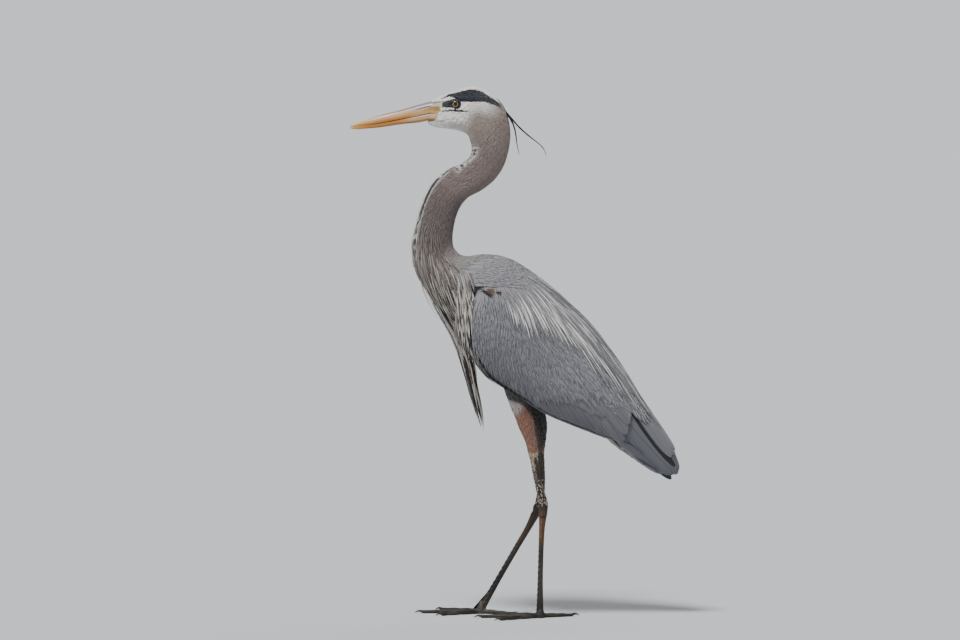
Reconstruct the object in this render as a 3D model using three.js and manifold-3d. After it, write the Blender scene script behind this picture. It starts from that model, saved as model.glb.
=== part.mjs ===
// Great blue heron, life size, standing still with its neck folded in an S.
// Millimetres, +Z up. The bill points to -X, the bird's left side to -Y, and the floor is z = 0.
// The head, neck and trunk are one loft along the bird's own outline, cut into lengths. The folded
// wings and the scapulars are what a wider loft leaves outside the trunk. The two legs differ,
// because the right foot is set forward.

import * as THREE from 'three';
import { mergeVertices } from 'three/addons/utils/BufferGeometryUtils.js';
import Module from 'manifold-3d';

const wasm = await Module();
wasm.setup();

// ---------------------------------------------------------------- driving dimensions

const GAP = 0.3;                  // between neighbouring pieces
const CUT = 0.025;                // half a cut between lengths of the body loft, in stations
const BODY_ROUNDNESS = [2.1, 2.1];
const EYE_RADIUS = 9.5;           // the whole eyeball, mostly inside the head
const EYE_PLACE = [-97.5, 12.2, 833.5];
const STANCE = 34;                // half the distance between the feet
const TOE_START = 15;             // from the foot's centre to where the toes part
const CLAW_LENGTH = 12;
const UNDER_TAIL = 40;            // open room below the tail, between the wing tips
const PRIMARIES_PLACE = [28, 34]; // how far from the middle the wing quills lie beside the tail

// The outline of head, neck and trunk, from the bill's base to the vent. Each station is a flat
// oval between a point on the back line and a point on the front line, with its half width.
const BODY = [
  { back: [-134, 838.5], front: [-143, 799], half: 10.5 },   // forehead and chin
  { back: [-119, 845.5], front: [-127, 794], half: 15.5 },
  { back: [-97, 854.5], front: [-103, 791], half: 20 },      // eyes
  { back: [-66, 860], front: [-80, 784], half: 22.5 },     // cheeks and crown
  { back: [-40, 848], front: [-73, 771], half: 21.5 },
  { back: [-20, 829], front: [-71, 760], half: 20 },       // nape
  { back: [-10, 800], front: [-73, 749], half: 19.5 },
  { back: [-9, 770], front: [-80, 741], half: 19.5 },
  { back: [-17, 736], front: [-92, 733], half: 19.5 },
  { back: [-33, 710], front: [-107, 728], half: 19.5 },    // upper bend
  { back: [-55, 692], front: [-122, 717], half: 19.5 },
  { back: [-77, 680], front: [-136, 704], half: 20 },
  { back: [-91, 662], front: [-148, 681], half: 20 },
  { back: [-99, 638], front: [-159, 650], half: 20.5 },
  { back: [-102, 610], front: [-167, 612], half: 21.5 },   // lower neck
  { back: [-96, 593], front: [-165, 575], half: 24 },
  { back: [-80, 585], front: [-156, 549], half: 30 },      // base of the neck
  { back: [-47, 588], front: [-130, 509], half: 43 },
  { back: [-7, 579], front: [-92, 459], half: 55 },        // shoulders
  { back: [60, 532], front: [-45, 389], half: 61 },
  { back: [119, 473], front: [38, 343], half: 56 },        // belly
  { back: [160, 411], front: [126, 308], half: 40 },
  { back: [182, 374], front: [158, 280], half: 25 },       // vent
  { back: [191, 338], front: [186, 260], half: 9 },        // coverts under the tail
];
const CUT_HEAD = 5.4;             // stations at which the loft is cut into lengths
const CUT_UPPER_NECK = 9.4;
const CUT_MIDDLE_NECK = 12.6;
const CUT_LOWER_NECK = 16;

// The outer surface over the folded wings, from the shoulders to the wing tips.
const FOLDED_WINGS = [
  { back: [-66, 586], front: [-146, 520], half: 47 },
  { back: [-7, 580], front: [-104, 436], half: 69 },
  { back: [60, 533], front: [-52, 366], half: 75 },
  { back: [121, 476], front: [34, 318], half: 72 },
  { back: [168, 414], front: [126, 284], half: 58 },
  { back: [203, 358], front: [182, 262], half: 43 },
  { back: [234, 312], front: [218, 236], half: 32 },
  { back: [257, 275], front: [245, 218], half: 24 },
  { back: [268, 248], front: [262, 226], half: 13 },
];
const WING_FRONT_EDGE = [[-52, 543], [-66, 529], [-74, 490], [-70, 436]];
const WING_LOWER_EDGE = [
  [-57, 408], [-42, 389], [8, 356], [55, 327], [138, 293], [176, 281], [205, 262], [240, 231],
];
const WING_UPPER_EDGE = [[207, 366], [172, 378], [122, 402], [82, 418], [38, 444], [0, 474], [-20, 508]];
const SCAPULAR_UPPER_EDGE = [[-40, 562], [-6, 566], [55, 523], [113, 466], [150, 419], [182, 386]];

// The long plumes that hang from the base of the neck in front of the breast.
const BREAST_PLUMES = [
  { back: [-122, 540], front: [-148, 548], half: 12 },
  { back: [-108, 500], front: [-133, 503], half: 20 },
  { back: [-78, 450], front: [-107, 456], half: 19 },
  { back: [-66, 412], front: [-91, 415], half: 15 },
  { back: [-61, 376], front: [-80, 380], half: 10 },
  { back: [-55, 342], front: [-70, 345], half: 6 },
  { back: [-50, 304], front: [-57, 305], half: 2.5 },
];

const UPPER_BILL = [
  { back: [-268, 795.5], front: [-268, 793.4], half: 0.8 },
  { back: [-252, 802], front: [-252, 796], half: 3.2 },
  { back: [-220, 813.5], front: [-220, 801], half: 6.2 },
  { back: [-187, 822], front: [-187, 807.3], half: 8.4 },
  { back: [-155, 831.5], front: [-155, 813.5], half: 10 },
  { back: [-134.6, 836.5], front: [-139, 817], half: 10.6 },
];
const LOWER_BILL = [
  { back: [-266, 793], front: [-266, 791.4], half: 0.7 },
  { back: [-252, 795.5], front: [-252, 791], half: 2.8 },
  { back: [-220, 800.5], front: [-220, 793.7], half: 5.4 },
  { back: [-187, 806.8], front: [-187, 798.5], half: 7.4 },
  { back: [-158, 812.7], front: [-158, 801.5], half: 9.4 },
  { back: [-139.2, 816.5], front: [-142.4, 804.5], half: 10.2 },
];

const CREST_LONG = [[-8, 3, 816], [5, 4, 794.5], [24, 4, 777.5], [41, 4, 763.5], [50, 4, 749]];
const CREST_SHORT = [[-4, -4, 806], [0, -5, 785], [2, -5, 768], [6, -4, 750]];

// The tail lies folded under the wing tips: its root and tip in side view, thickness and half
// widths. The dark wing quills show beside it, in two thin blades.
const TAIL = { root: [174, 288], tip: [246, 231], thick: 5, rootHalf: 17, tipHalf: 25 };
const PRIMARIES_UPPER_EDGE = [[160, 288], [176, 286], [206, 268], [240, 236]];
const PRIMARIES_LOWER_EDGE = [[255, 215], [236, 227], [221, 238], [202, 252], [178, 271]];

// Each leg as points along its middle: x, z and the half depth; the half width follows from it.
const LEGS = {
  left: {
    side: -1,
    thigh: [[0, 384, 22], [6, 350, 15.5], [12.5, 331, 14], [18, 312, 12.5], [24, 289, 8.5], [28, 266, 6.4]],
    shin: [[28.4, 265.3, 5.8], [32.5, 240, 5.6], [38, 214, 5.8], [43.6, 193.4, 6.8]],
    ankle: [45.6, 181.6],
    tarsus: [[44.8, 169.8, 6.6], [43, 146, 4.7], [41.5, 110, 4.2], [40.2, 60, 4.4], [39.8, 16, 5.6]],
    foot: 40,
  },
  right: {
    side: 1,
    thigh: [[4, 384, 22], [18, 350, 18], [30, 330, 16.5], [38, 311, 13], [41, 290, 9], [41, 272, 6.6]],
    shin: [[40.6, 271.3, 5.8], [42, 240, 5.6], [42.4, 210, 5.8], [39.4, 182, 6.8]],
    ankle: [37, 170.6],
    tarsus: [[31.2, 159.6, 6.6], [20.5, 139, 5], [1, 106, 4.6], [-27, 57.5, 4.6], [-50.5, 16, 5.6]],
    foot: -56,
  },
};
// Toes by name: the turn outwards from straight ahead in degrees, the length and the root's radius.
const TOES = {
  middle: { turn: 2, length: 96, radius: 4.3 },
  inner: { turn: -31, length: 74, radius: 4 },
  outer: { turn: 36, length: 80, radius: 4 },
  hind: { turn: 204, length: 58, radius: 4.2 },
};

// ---------------------------------------------------------------- helpers

// A smooth line through points given as lists of three numbers.
function smoothLine(points) {
  return new THREE.CatmullRomCurve3(points.map((p) => new THREE.Vector3(...p)), false, 'catmullrom');
}

// Moves each vertex of an upright unit cylinder to place(t, u, v): t runs 0 to 1 from its top to its
// bottom, and u and v are the vertex's own place across it.
function bentCylinder(sides, steps, place) {
  const geometry = new THREE.CylinderGeometry(1, 1, 1, sides, steps);
  const position = geometry.attributes.position;
  const tidy = (value) => Math.round(value * 1e6) / 1e6;
  for (let i = 0; i < position.count; i += 1) {
    const t = THREE.MathUtils.clamp(0.5 - position.getY(i), 0, 1);
    const moved = place(t, tidy(position.getX(i)), tidy(position.getZ(i)));
    position.setXYZ(i, moved.x, moved.y, moved.z);
  }
  return geometry;
}

// How far an end of a piece that is made larger reaches past its first or last section.
function past(t, grow) {
  if (t === 0) return -grow;
  return t === 1 ? grow : 0;
}

// A closed loft through flat ovals. from and to pick a stretch of it by station number, roundness
// sets the back and front halves (2 is an ellipse, more is squarer), and grow makes it larger.
function loft(stations, { sides, steps, from = 0, to, roundness = [2, 2], grow = 0 }) {
  const last = stations.length - 1;
  const end = to ?? last;
  const back = smoothLine(stations.map((s) => [s.back[0], 0, s.back[1]]));
  const front = smoothLine(stations.map((s) => [s.front[0], 0, s.front[1]]));
  const width = smoothLine(stations.map((s) => [s.half, 0, 0]));
  return bentCylinder(sides, steps, (t, u, v) => {
    const along = (from + (end - from) * t) / last;
    const top = back.getPoint(along);
    const bottom = front.getPoint(along);
    const centre = top.clone().add(bottom).multiplyScalar(0.5);
    const reach = top.clone().sub(centre);
    const depth = reach.length();
    const power = 2 / (v < 0 ? roundness[1] : roundness[0]);
    const deep = Math.sign(v) * Math.abs(v) ** power * (depth + grow);
    const wide = Math.sign(u) * Math.abs(u) ** power * (width.getPoint(along).x + grow);
    const ahead = back.getTangent(along).add(front.getTangent(along)).normalize();
    centre.addScaledVector(reach.normalize(), deep).addScaledVector(ahead, past(t, grow));
    return centre.setY(wide);
  });
}

// A closed tube along points of x, y, z. radius(t) gives its half depth, and flatness the half width
// over the half depth. What would reach below the floor is pressed flat onto it.
function tube(points, radius, { sides, steps, flatness = 1, grow = 0 }) {
  const path = smoothLine(points);
  const sideways = new THREE.Vector3(0, 1, 0);
  return bentCylinder(sides, steps, (t, u, v) => {
    const ahead = path.getTangent(t);
    const deep = ahead.clone().cross(sideways).normalize();
    const wide = deep.clone().cross(ahead);
    const size = radius(t) + grow;
    const point = path.getPoint(t).addScaledVector(deep, v * size);
    point.addScaledVector(wide, u * size * flatness).addScaledVector(ahead, past(t, grow));
    point.z = Math.max(point.z, 0);
    return point;
  });
}

// A flat plate from y = near to y = far. Its outline in side view is a ring of smooth stretches,
// each running on to the first point of the next one.
function plate(stretches, near, far) {
  const outline = stretches.flatMap((stretch, i) => {
    const next = stretches[(i + 1) % stretches.length];
    const curve = new THREE.SplineCurve([...stretch, next[0]].map((p) => new THREE.Vector2(...p)));
    return curve.getPoints(stretch.length * 2).slice(0, -1);
  });
  const geometry = new THREE.ExtrudeGeometry(new THREE.Shape(outline), {
    depth: Math.abs(far - near), bevelEnabled: false,
  });
  geometry.rotateX(Math.PI / 2);
  geometry.translate(0, Math.max(near, far), 0);
  return geometry;
}

// Closed geometry as a solid that can be joined and cut, and a solid back as geometry.
function toSolid(geometry) {
  geometry.deleteAttribute('normal');
  geometry.deleteAttribute('uv');
  const merged = mergeVertices(geometry, 1e-4);
  return new wasm.Manifold(new wasm.Mesh({
    numProp: 3,
    vertProperties: merged.attributes.position.array,
    triVerts: new Uint32Array(merged.index.array),
  }));
}

function toGeometry(solid) {
  const mesh = solid.getMesh();
  const geometry = new THREE.BufferGeometry();
  geometry.setAttribute('position', new THREE.BufferAttribute(mesh.vertProperties, 3));
  geometry.setIndex(new THREE.BufferAttribute(mesh.triVerts, 1));
  geometry.computeVertexNormals();
  return geometry;
}

const MATERIALS = {
  slate: { color: 0x7d8492, roughness: 0.75 },
  mauve: { color: 0x9a8a88, roughness: 0.8 },
  white: { color: 0xe9e6df, roughness: 0.8 },
  pale: { color: 0xb9bac0, roughness: 0.75 },
  dark: { color: 0x24262c, roughness: 0.7 },
  rufous: { color: 0x8a5638, roughness: 0.8 },
  shank: { color: 0x5d5647, roughness: 0.6 },
  bill: { color: 0xc9a46a, roughness: 0.45 },
  claw: { color: 0x2c2824, roughness: 0.45 },
  eye: { color: 0xd9b53a, roughness: 0.08 },
};

const heron = new THREE.Group();

function addPiece(name, geometry, finish) {
  const material = new THREE.MeshStandardMaterial({ ...MATERIALS[finish], metalness: 0 });
  const mesh = new THREE.Mesh(geometry, material);
  mesh.name = name;
  heron.add(mesh);
}

// ---------------------------------------------------------------- head, eyes and bill

function bodyLength(from, to, steps, sides) {
  return loft(BODY, { sides, steps, from, to, roundness: BODY_ROUNDNESS });
}

function eyeball(side, grow) {
  const ball = new THREE.SphereGeometry(EYE_RADIUS + grow, 12, 7);
  const [x, y, z] = EYE_PLACE;
  return ball.translate(x, side * y, z);
}

let head = toSolid(bodyLength(0, CUT_HEAD - CUT, 11, 18));
for (const side of [-1, 1]) {
  head = head.subtract(toSolid(eyeball(side, GAP)));
  addPiece(side < 0 ? 'eye_left' : 'eye_right', eyeball(side, 0), 'eye');
}
addPiece('head', toGeometry(head), 'white');
addPiece('bill_upper', loft(UPPER_BILL, { sides: 12, steps: 9, roundness: [1.8, 9] }), 'bill');
addPiece('bill_lower', loft(LOWER_BILL, { sides: 12, steps: 8, roundness: [9, 2] }), 'bill');

// ---------------------------------------------------------------- neck and trunk

addPiece('neck_upper', bodyLength(CUT_HEAD + CUT, CUT_UPPER_NECK - CUT, 9, 16), 'mauve');
addPiece('neck_middle', bodyLength(CUT_UPPER_NECK + CUT, CUT_MIDDLE_NECK - CUT, 8, 16), 'mauve');
addPiece('neck_lower', bodyLength(CUT_MIDDLE_NECK + CUT, CUT_LOWER_NECK - CUT, 8, 16), 'mauve');

const TRUNK = { sides: 22, steps: 14, from: CUT_LOWER_NECK + CUT, roundness: BODY_ROUNDNESS };
const trunkGeometry = loft(BODY, TRUNK);
addPiece('trunk', trunkGeometry, 'slate');
const aroundTrunk = toSolid(loft(BODY, { ...TRUNK, grow: GAP }));

// ---------------------------------------------------------------- plumes of crest and breast

const neckAround = toSolid(loft(BODY, {
  sides: 16, steps: 22, from: 3, to: CUT_UPPER_NECK, roundness: BODY_ROUNDNESS, grow: GAP,
}));
for (const [name, points] of [['crest_plume_long', CREST_LONG], ['crest_plume_short', CREST_SHORT]]) {
  const plume = toSolid(tube(points, (t) => 1.7 - 1.1 * t * t, { sides: 6, steps: 8, flatness: 0.8 }));
  addPiece(name, toGeometry(plume.subtract(neckAround)), 'dark');
}

const plumes = toSolid(loft(BREAST_PLUMES, { sides: 12, steps: 10 }));
addPiece('breast_plumes', toGeometry(plumes.subtract(aroundTrunk)), 'pale');

// ---------------------------------------------------------------- tail, primaries, wings, scapulars

// The folded tail: a wedge that widens towards its tip, bent a little over its width. drop makes it
// thicker below, which clears the room under it.
function tailGeometry(grow, drop) {
  const box = new THREE.BoxGeometry(1, 1, 1, 5, 5, 1);
  const position = box.attributes.position;
  const root = new THREE.Vector3(TAIL.root[0], 0, TAIL.root[1]);
  const tip = new THREE.Vector3(TAIL.tip[0], 0, TAIL.tip[1]);
  const ahead = tip.clone().sub(root).normalize();
  const above = new THREE.Vector3(-ahead.z, 0, ahead.x);
  const length = root.distanceTo(tip);
  for (let i = 0; i < position.count; i += 1) {
    const along = position.getX(i) * (length + 2 * grow) + length / 2;
    const across = position.getY(i) * 2;
    const half = THREE.MathUtils.lerp(TAIL.rootHalf, TAIL.tipHalf, along / length) + grow;
    const rounded = along - 8 * across * across * (along / length);
    const lift = position.getZ(i) * (TAIL.thick + 2 * grow + drop) - drop / 2 - 5 * across * across;
    const point = root.clone().addScaledVector(ahead, rounded).addScaledVector(above, lift);
    position.setXYZ(i, point.x, across * half, point.z);
  }
  return box;
}

addPiece('tail', toGeometry(toSolid(tailGeometry(0, 0)).subtract(aroundTrunk)), 'slate');
const aroundTail = toSolid(tailGeometry(GAP, UNDER_TAIL));

const wingSurface = { sides: 24, steps: 20, roundness: [2, 3] };
const wings = toSolid(loft(FOLDED_WINGS, wingSurface));
const aroundWings = toSolid(loft(FOLDED_WINGS, { ...wingSurface, grow: GAP }));

const PAST_TIP = [[300, 190], [300, 300]];
const wingOutline = [WING_FRONT_EDGE, WING_LOWER_EDGE, PAST_TIP, WING_UPPER_EDGE];
const primariesOutline = [PRIMARIES_UPPER_EDGE, PRIMARIES_LOWER_EDGE];
const scapularOutline = [SCAPULAR_UPPER_EDGE, [...WING_UPPER_EDGE, WING_FRONT_EDGE[0]]];
const aroundWing = {};

for (const [name, leg] of Object.entries(LEGS)) {
  const near = leg.side * GAP / 2;
  const far = leg.side * 100;
  const lowered = (outline) => toSolid(plate(outline, 0, far).translate(0, 0, -GAP));
  const wingSide = wings.intersect(toSolid(plate(wingOutline, near, far)));
  const outside = wingSide.subtract(lowered(scapularOutline)).subtract(aroundTrunk);
  addPiece(`wing_${name}`, toGeometry(outside.subtract(aroundTail)), 'slate');
  aroundWing[name] = aroundWings.intersect(lowered(wingOutline));

  const scapularSide = wings.intersect(toSolid(plate(scapularOutline, near, far)));
  addPiece(`scapulars_${name}`, toGeometry(scapularSide.subtract(aroundTrunk)), 'pale');

  const [inner, outer] = PRIMARIES_PLACE;
  const quills = toSolid(plate(primariesOutline, leg.side * inner, leg.side * outer));
  addPiece(`primaries_${name}`, toGeometry(quills.subtract(aroundWings).subtract(aroundTrunk)), 'dark');
}

// ---------------------------------------------------------------- legs, feet and claws

// One toe as a tube that thins towards its claw and swells at its joints.
function toePath(centre, side, toe, from, to, height) {
  const turn = THREE.MathUtils.degToRad(toe.turn) * side;
  const place = (d, z) => [centre[0] - Math.cos(turn) * d, centre[1] + Math.sin(turn) * d, z];
  return [place(from, height[0]), place((from + to) / 2, height[1]), place(to, height[2])];
}

for (const [name, leg] of Object.entries(LEGS)) {
  const y = leg.side * STANCE;
  const limb = (points, options) => {
    const middle = points.map(([x, z]) => [x, y, z]);
    const sizes = smoothLine(points.map((p) => [p[2], 0, 0]));
    return tube(middle, (t) => sizes.getPoint(t).x, options);
  };

  const thigh = toSolid(limb(leg.thigh, { sides: 12, steps: 10 }));
  addPiece(`thigh_${name}`, toGeometry(thigh.subtract(aroundTrunk).subtract(aroundWing[name])), 'rufous');
  addPiece(`shin_${name}`, limb(leg.shin, { sides: 10, steps: 5, flatness: 0.85 }), 'shank');

  const knuckle = new THREE.SphereGeometry(7.8, 10, 7).scale(1, 0.8, 1.42);
  addPiece(`ankle_${name}`, knuckle.translate(leg.ankle[0], y, leg.ankle[1]), 'shank');
  addPiece(`tarsus_${name}`, limb(leg.tarsus, { sides: 10, steps: 7, flatness: 0.8 }), 'shank');

  const centre = [leg.foot, y];
  const pad = [[leg.foot, y, 15.5], [leg.foot, y, 8], [leg.foot, y, 0]];
  let foot = toSolid(tube(pad, (t) => 6 + 3 * t, { sides: 10, steps: 3 }));
  for (const [toeName, toe] of Object.entries(TOES)) {
    const root = toePath(centre, leg.side, toe, 0, TOE_START - GAP, [5, 4.6, 4.2]);
    foot = foot.add(toSolid(tube(root, () => toe.radius + 0.3, { sides: 6, steps: 1 })));

    const swell = (t) => toe.radius * (1 - 0.42 * t) * (1 + 0.09 * Math.cos(t * Math.PI * 6));
    const path = toePath(centre, leg.side, toe, TOE_START, toe.length, [4, 3.2, 2.4]);
    addPiece(`toe_${toeName}_${name}`, tube(path, swell, { sides: 8, steps: 6 }), 'shank');

    const claw = toePath(centre, leg.side, toe, toe.length + GAP, toe.length + CLAW_LENGTH, [3, 3.2, 1.2]);
    addPiece(`claw_${toeName}_${name}`, tube(claw, (t) => 1.9 - 1.4 * t, { sides: 6, steps: 3 }), 'claw');
  }
  addPiece(`foot_${name}`, toGeometry(foot), 'shank');
}

export default heron;
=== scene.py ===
import math

import bpy
import numpy as np
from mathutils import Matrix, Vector


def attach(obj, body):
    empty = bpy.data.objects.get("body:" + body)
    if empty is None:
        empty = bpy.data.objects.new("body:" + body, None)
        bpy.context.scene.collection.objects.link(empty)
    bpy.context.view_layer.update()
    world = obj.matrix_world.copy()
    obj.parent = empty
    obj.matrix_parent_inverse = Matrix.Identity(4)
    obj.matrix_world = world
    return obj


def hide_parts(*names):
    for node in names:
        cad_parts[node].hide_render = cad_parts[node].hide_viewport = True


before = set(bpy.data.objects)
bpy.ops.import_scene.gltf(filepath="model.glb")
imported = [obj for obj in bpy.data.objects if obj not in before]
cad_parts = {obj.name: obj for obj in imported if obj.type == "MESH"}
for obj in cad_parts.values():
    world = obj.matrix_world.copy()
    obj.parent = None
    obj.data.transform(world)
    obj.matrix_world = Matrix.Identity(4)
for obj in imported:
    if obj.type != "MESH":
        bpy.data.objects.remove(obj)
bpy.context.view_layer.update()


# ---------------------------------------------------------------- the studio
# A wide pale floor under a key light from high in front and a little to the left, a wide fill low
# from the front, and a soft light from above and behind. The bird is seen from its left side, a
# little from above, through a long lens.

def linear(code):
    """A colour written as six hexadecimal digits, as light: each part to the power 2.2."""
    parts = [int(code[i:i + 2], 16) / 255 for i in (0, 2, 4)]
    return np.array([part ** 2.2 for part in parts])


def new_material(name, roughness, settings=None):
    """A material and its Principled shader, with its roughness and other settings on its sockets."""
    material = bpy.data.materials.new(name)
    material.use_nodes = True
    shader = material.node_tree.nodes["Principled BSDF"]
    for socket, value in {"Roughness": roughness, **(settings or {})}.items():
        shader.inputs[socket].default_value = value
    return material, material.node_tree, shader


def add_node(tree, kind, settings=None, **inputs):
    """A node of that kind; inputs are values, or sockets of other nodes to join to it."""
    node = tree.nodes.new(kind)
    for name, value in (settings or {}).items():
        setattr(node, name, value)
    for name, value in inputs.items():
        socket = node.inputs[int(name[1:])] if name[0] == "i" and name[1:].isdigit() else node.inputs[name]
        if isinstance(value, bpy.types.NodeSocket):
            tree.links.new(value, socket)
        else:
            socket.default_value = value
    return node


def build_mesh(name, points, *face_sets):
    """A piece from its points and arrays of faces, each array a whole set of faces of one size."""
    corners = np.concatenate([faces.ravel() for faces in face_sets])
    sizes = np.concatenate([np.full(len(faces), faces.shape[1]) for faces in face_sets])
    mesh = bpy.data.meshes.new(name)
    mesh.vertices.add(len(points))
    mesh.vertices.foreach_set("co", np.asarray(points, np.float32).ravel())
    mesh.loops.add(len(corners))
    mesh.loops.foreach_set("vertex_index", corners.astype(np.int32))
    mesh.polygons.add(len(sizes))
    mesh.polygons.foreach_set("loop_start", (np.cumsum(sizes) - sizes).astype(np.int32))
    mesh.update(calc_edges=True)
    piece = bpy.data.objects.new(name, mesh)
    bpy.context.collection.objects.link(piece)
    return piece


VIEW_DISTANCE = 20.0
VIEW_RISE = math.radians(4.5)
VIEW_WIDTH = 1.555
VIEW_CENTRE = Vector((-0.0575, 0.0, 0.4813))

camera = bpy.data.objects.new("camera", bpy.data.cameras.new("camera"))
bpy.context.collection.objects.link(camera)
away = Vector((0.0, -math.cos(VIEW_RISE), math.sin(VIEW_RISE)))
camera.location = VIEW_CENTRE + away * VIEW_DISTANCE
camera.rotation_euler = away.to_track_quat("Z", "Y").to_euler()
camera.data.lens = camera.data.sensor_width * VIEW_DISTANCE / VIEW_WIDTH
bpy.context.scene.camera = camera

FLOOR_REACH = 400.0
corners = np.array([[-1, -1, 0], [1, -1, 0], [1, 1, 0], [-1, 1, 0]]) * FLOOR_REACH
floor = build_mesh("floor", corners, np.array([[0, 1, 2, 3]]))
floor_finish, tree, shader = new_material("studio_floor", 0.85)
cloud = add_node(tree, "ShaderNodeTexNoise", Scale=0.6, Detail=2.0)
cloud_tone = add_node(tree, "ShaderNodeMix", {"data_type": "RGBA"}, i0=cloud.outputs["Fac"],
                      i6=(*linear("b3b5b7"), 1), i7=(*linear("b9bbbc"), 1))
tree.links.new(cloud_tone.outputs[2], shader.inputs["Base Color"])
floor.data.materials.append(floor_finish)

# direction the light comes from, how wide it is in degrees, and its strength
LIGHTS = {
    "key": ((-0.30, -0.50, 1.30), 14, 4.0),
    "fill": ((-0.5, -1.0, 0.25), 60, 0.30),
    "back": ((0.5, 0.7, 1.0), 30, 0.5),
}
for light_name, (place, breadth, power) in LIGHTS.items():
    lamp = bpy.data.lights.new(light_name, "SUN")
    lamp.angle = math.radians(breadth)
    lamp.energy = power
    light = bpy.data.objects.new(light_name, lamp)
    light.rotation_euler = Vector(place).to_track_quat("Z", "Y").to_euler()
    bpy.context.collection.objects.link(light)
world = bpy.data.worlds.new("studio")
world.use_nodes = True
world.node_tree.nodes["Background"].inputs["Color"].default_value = (*linear("dfe2e6"), 1)
world.node_tree.nodes["Background"].inputs["Strength"].default_value = 0.55
bpy.context.scene.world = world


# ---------------------------------------------------------------- the form under the plumage
# The bird's outline as lofts: one long body from the bill's base to the vent, the two folded wings
# as one lens round the back, and each leg. They are the same forms as the solids', in metres.

def smooth_line(points, where):
    """Catmull-Rom curve. At a place counted in points, the cubic blend of the four points round it,
    with a mirrored point beyond each end; past its ends the curve runs straight on."""
    points = np.asarray(points, float)
    last = len(points) - 1
    ring = np.vstack([2 * points[0] - points[1], points, 2 * points[-1] - points[-2]])
    inside = np.clip(where, 0, last)
    i = np.minimum(inside.astype(int), last - 1)
    f = (inside - i)[..., None]
    a, b, c, d = (ring[i + k] for k in range(4))
    curve = 0.5 * (2 * b + (c - a) * f + (2 * a - 5 * b + 4 * c - d) * f ** 2
                   + (3 * b - a - 3 * c + d) * f ** 3)
    end = np.where((where > last)[..., None], points[-1] - points[-2], points[1] - points[0])
    return curve + (where - inside)[..., None] * end


def on_loft(stations, roundness):
    """Surface of a loft through flat ovals. At a station and a turn (0 at the back, a quarter turn at
    the right side), the centre plus the oval's depth and half width, each times the sine or cosine
    of the turn to the power 2 / roundness; lift makes both larger."""
    stations = np.asarray(stations, float) / 1000

    def surface(station, turn, lift=0.0):
        line = smooth_line(stations, station)
        back, front, half = line[..., 0:2], line[..., 2:4], np.maximum(line[..., 4], 0.001)
        centre = (back + front) / 2
        reach = (back - front) / 2
        depth = np.linalg.norm(reach, axis=-1)
        across, deep = np.sin(turn), np.cos(turn)
        power = 2 / np.where(deep < 0, roundness[1], roundness[0])
        out = np.sign(deep) * np.abs(deep) ** power * (depth + lift) / depth
        side = np.sign(across) * np.abs(across) ** power * (half + lift)
        flat = centre + reach * out[..., None]
        return np.stack([flat[..., 0], side, flat[..., 1]], -1)
    return surface


def on_limb(path, sizes, flatness=1.0):
    """Surface of a round tube along a smooth path. At a place (0 to 1) and a turn, the path's point
    plus the radius times the turn's sine across and cosine in front, squeezed by flatness."""
    path = np.asarray(path, float) / 1000
    sizes = np.asarray(sizes, float)[:, None] / 1000

    def surface(place, turn, lift=0.0):
        where = place * (len(path) - 1)
        point = smooth_line(path, where)
        ahead = smooth_line(path, where + 0.01) - smooth_line(path, where - 0.01)
        ahead /= np.linalg.norm(ahead, axis=-1, keepdims=True)
        deep = np.cross(ahead, (0.0, 1.0, 0.0))
        deep /= np.linalg.norm(deep, axis=-1, keepdims=True)
        wide = np.cross(deep, ahead)
        size = smooth_line(sizes, place * (len(sizes) - 1))[..., 0] + lift
        point = point + deep * (np.cos(turn) * size)[..., None]
        point = point + wide * (np.sin(turn) * size * flatness)[..., None]
        point[..., 2] = np.maximum(point[..., 2], 0.0)
        return point
    return surface


# back x, back z, front x, front z, half width, in millimetres
BODY = [
    (-134, 838.5, -143, 799, 10.5), (-119, 845.5, -127, 794, 15.5), (-97, 854.5, -103, 791, 20),
    (-66, 860, -80, 784, 22.5), (-40, 848, -73, 771, 21.5), (-20, 829, -71, 760, 20),
    (-10, 800, -73, 749, 19.5), (-9, 770, -80, 741, 19.5), (-17, 736, -92, 733, 19.5),
    (-33, 710, -107, 728, 19.5), (-55, 692, -122, 717, 19.5), (-77, 680, -136, 704, 20),
    (-91, 662, -148, 681, 20), (-99, 638, -159, 650, 20.5), (-102, 610, -167, 612, 21.5),
    (-96, 593, -165, 575, 24), (-80, 585, -156, 549, 30), (-47, 588, -130, 509, 43),
    (-7, 579, -92, 459, 55), (60, 532, -45, 389, 61), (119, 473, 38, 343, 56),
    (160, 411, 126, 308, 40), (182, 374, 158, 280, 25), (191, 338, 186, 260, 9),
]
FOLDED_WINGS = [
    (-66, 586, -146, 520, 47), (-7, 580, -104, 436, 69), (60, 533, -52, 366, 75),
    (121, 476, 34, 318, 72), (168, 414, 126, 284, 58), (203, 358, 182, 262, 43),
    (234, 312, 218, 236, 32), (257, 275, 245, 218, 24), (268, 248, 262, 226, 13),
]
WING_FRONT_EDGE = [(-52, 543), (-66, 529), (-74, 490), (-70, 436)]
WING_LOWER_EDGE = [(-57, 408), (-42, 389), (8, 356), (55, 327),
                   (138, 293), (176, 281), (205, 262), (240, 231)]
STANCE = 0.034
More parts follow.
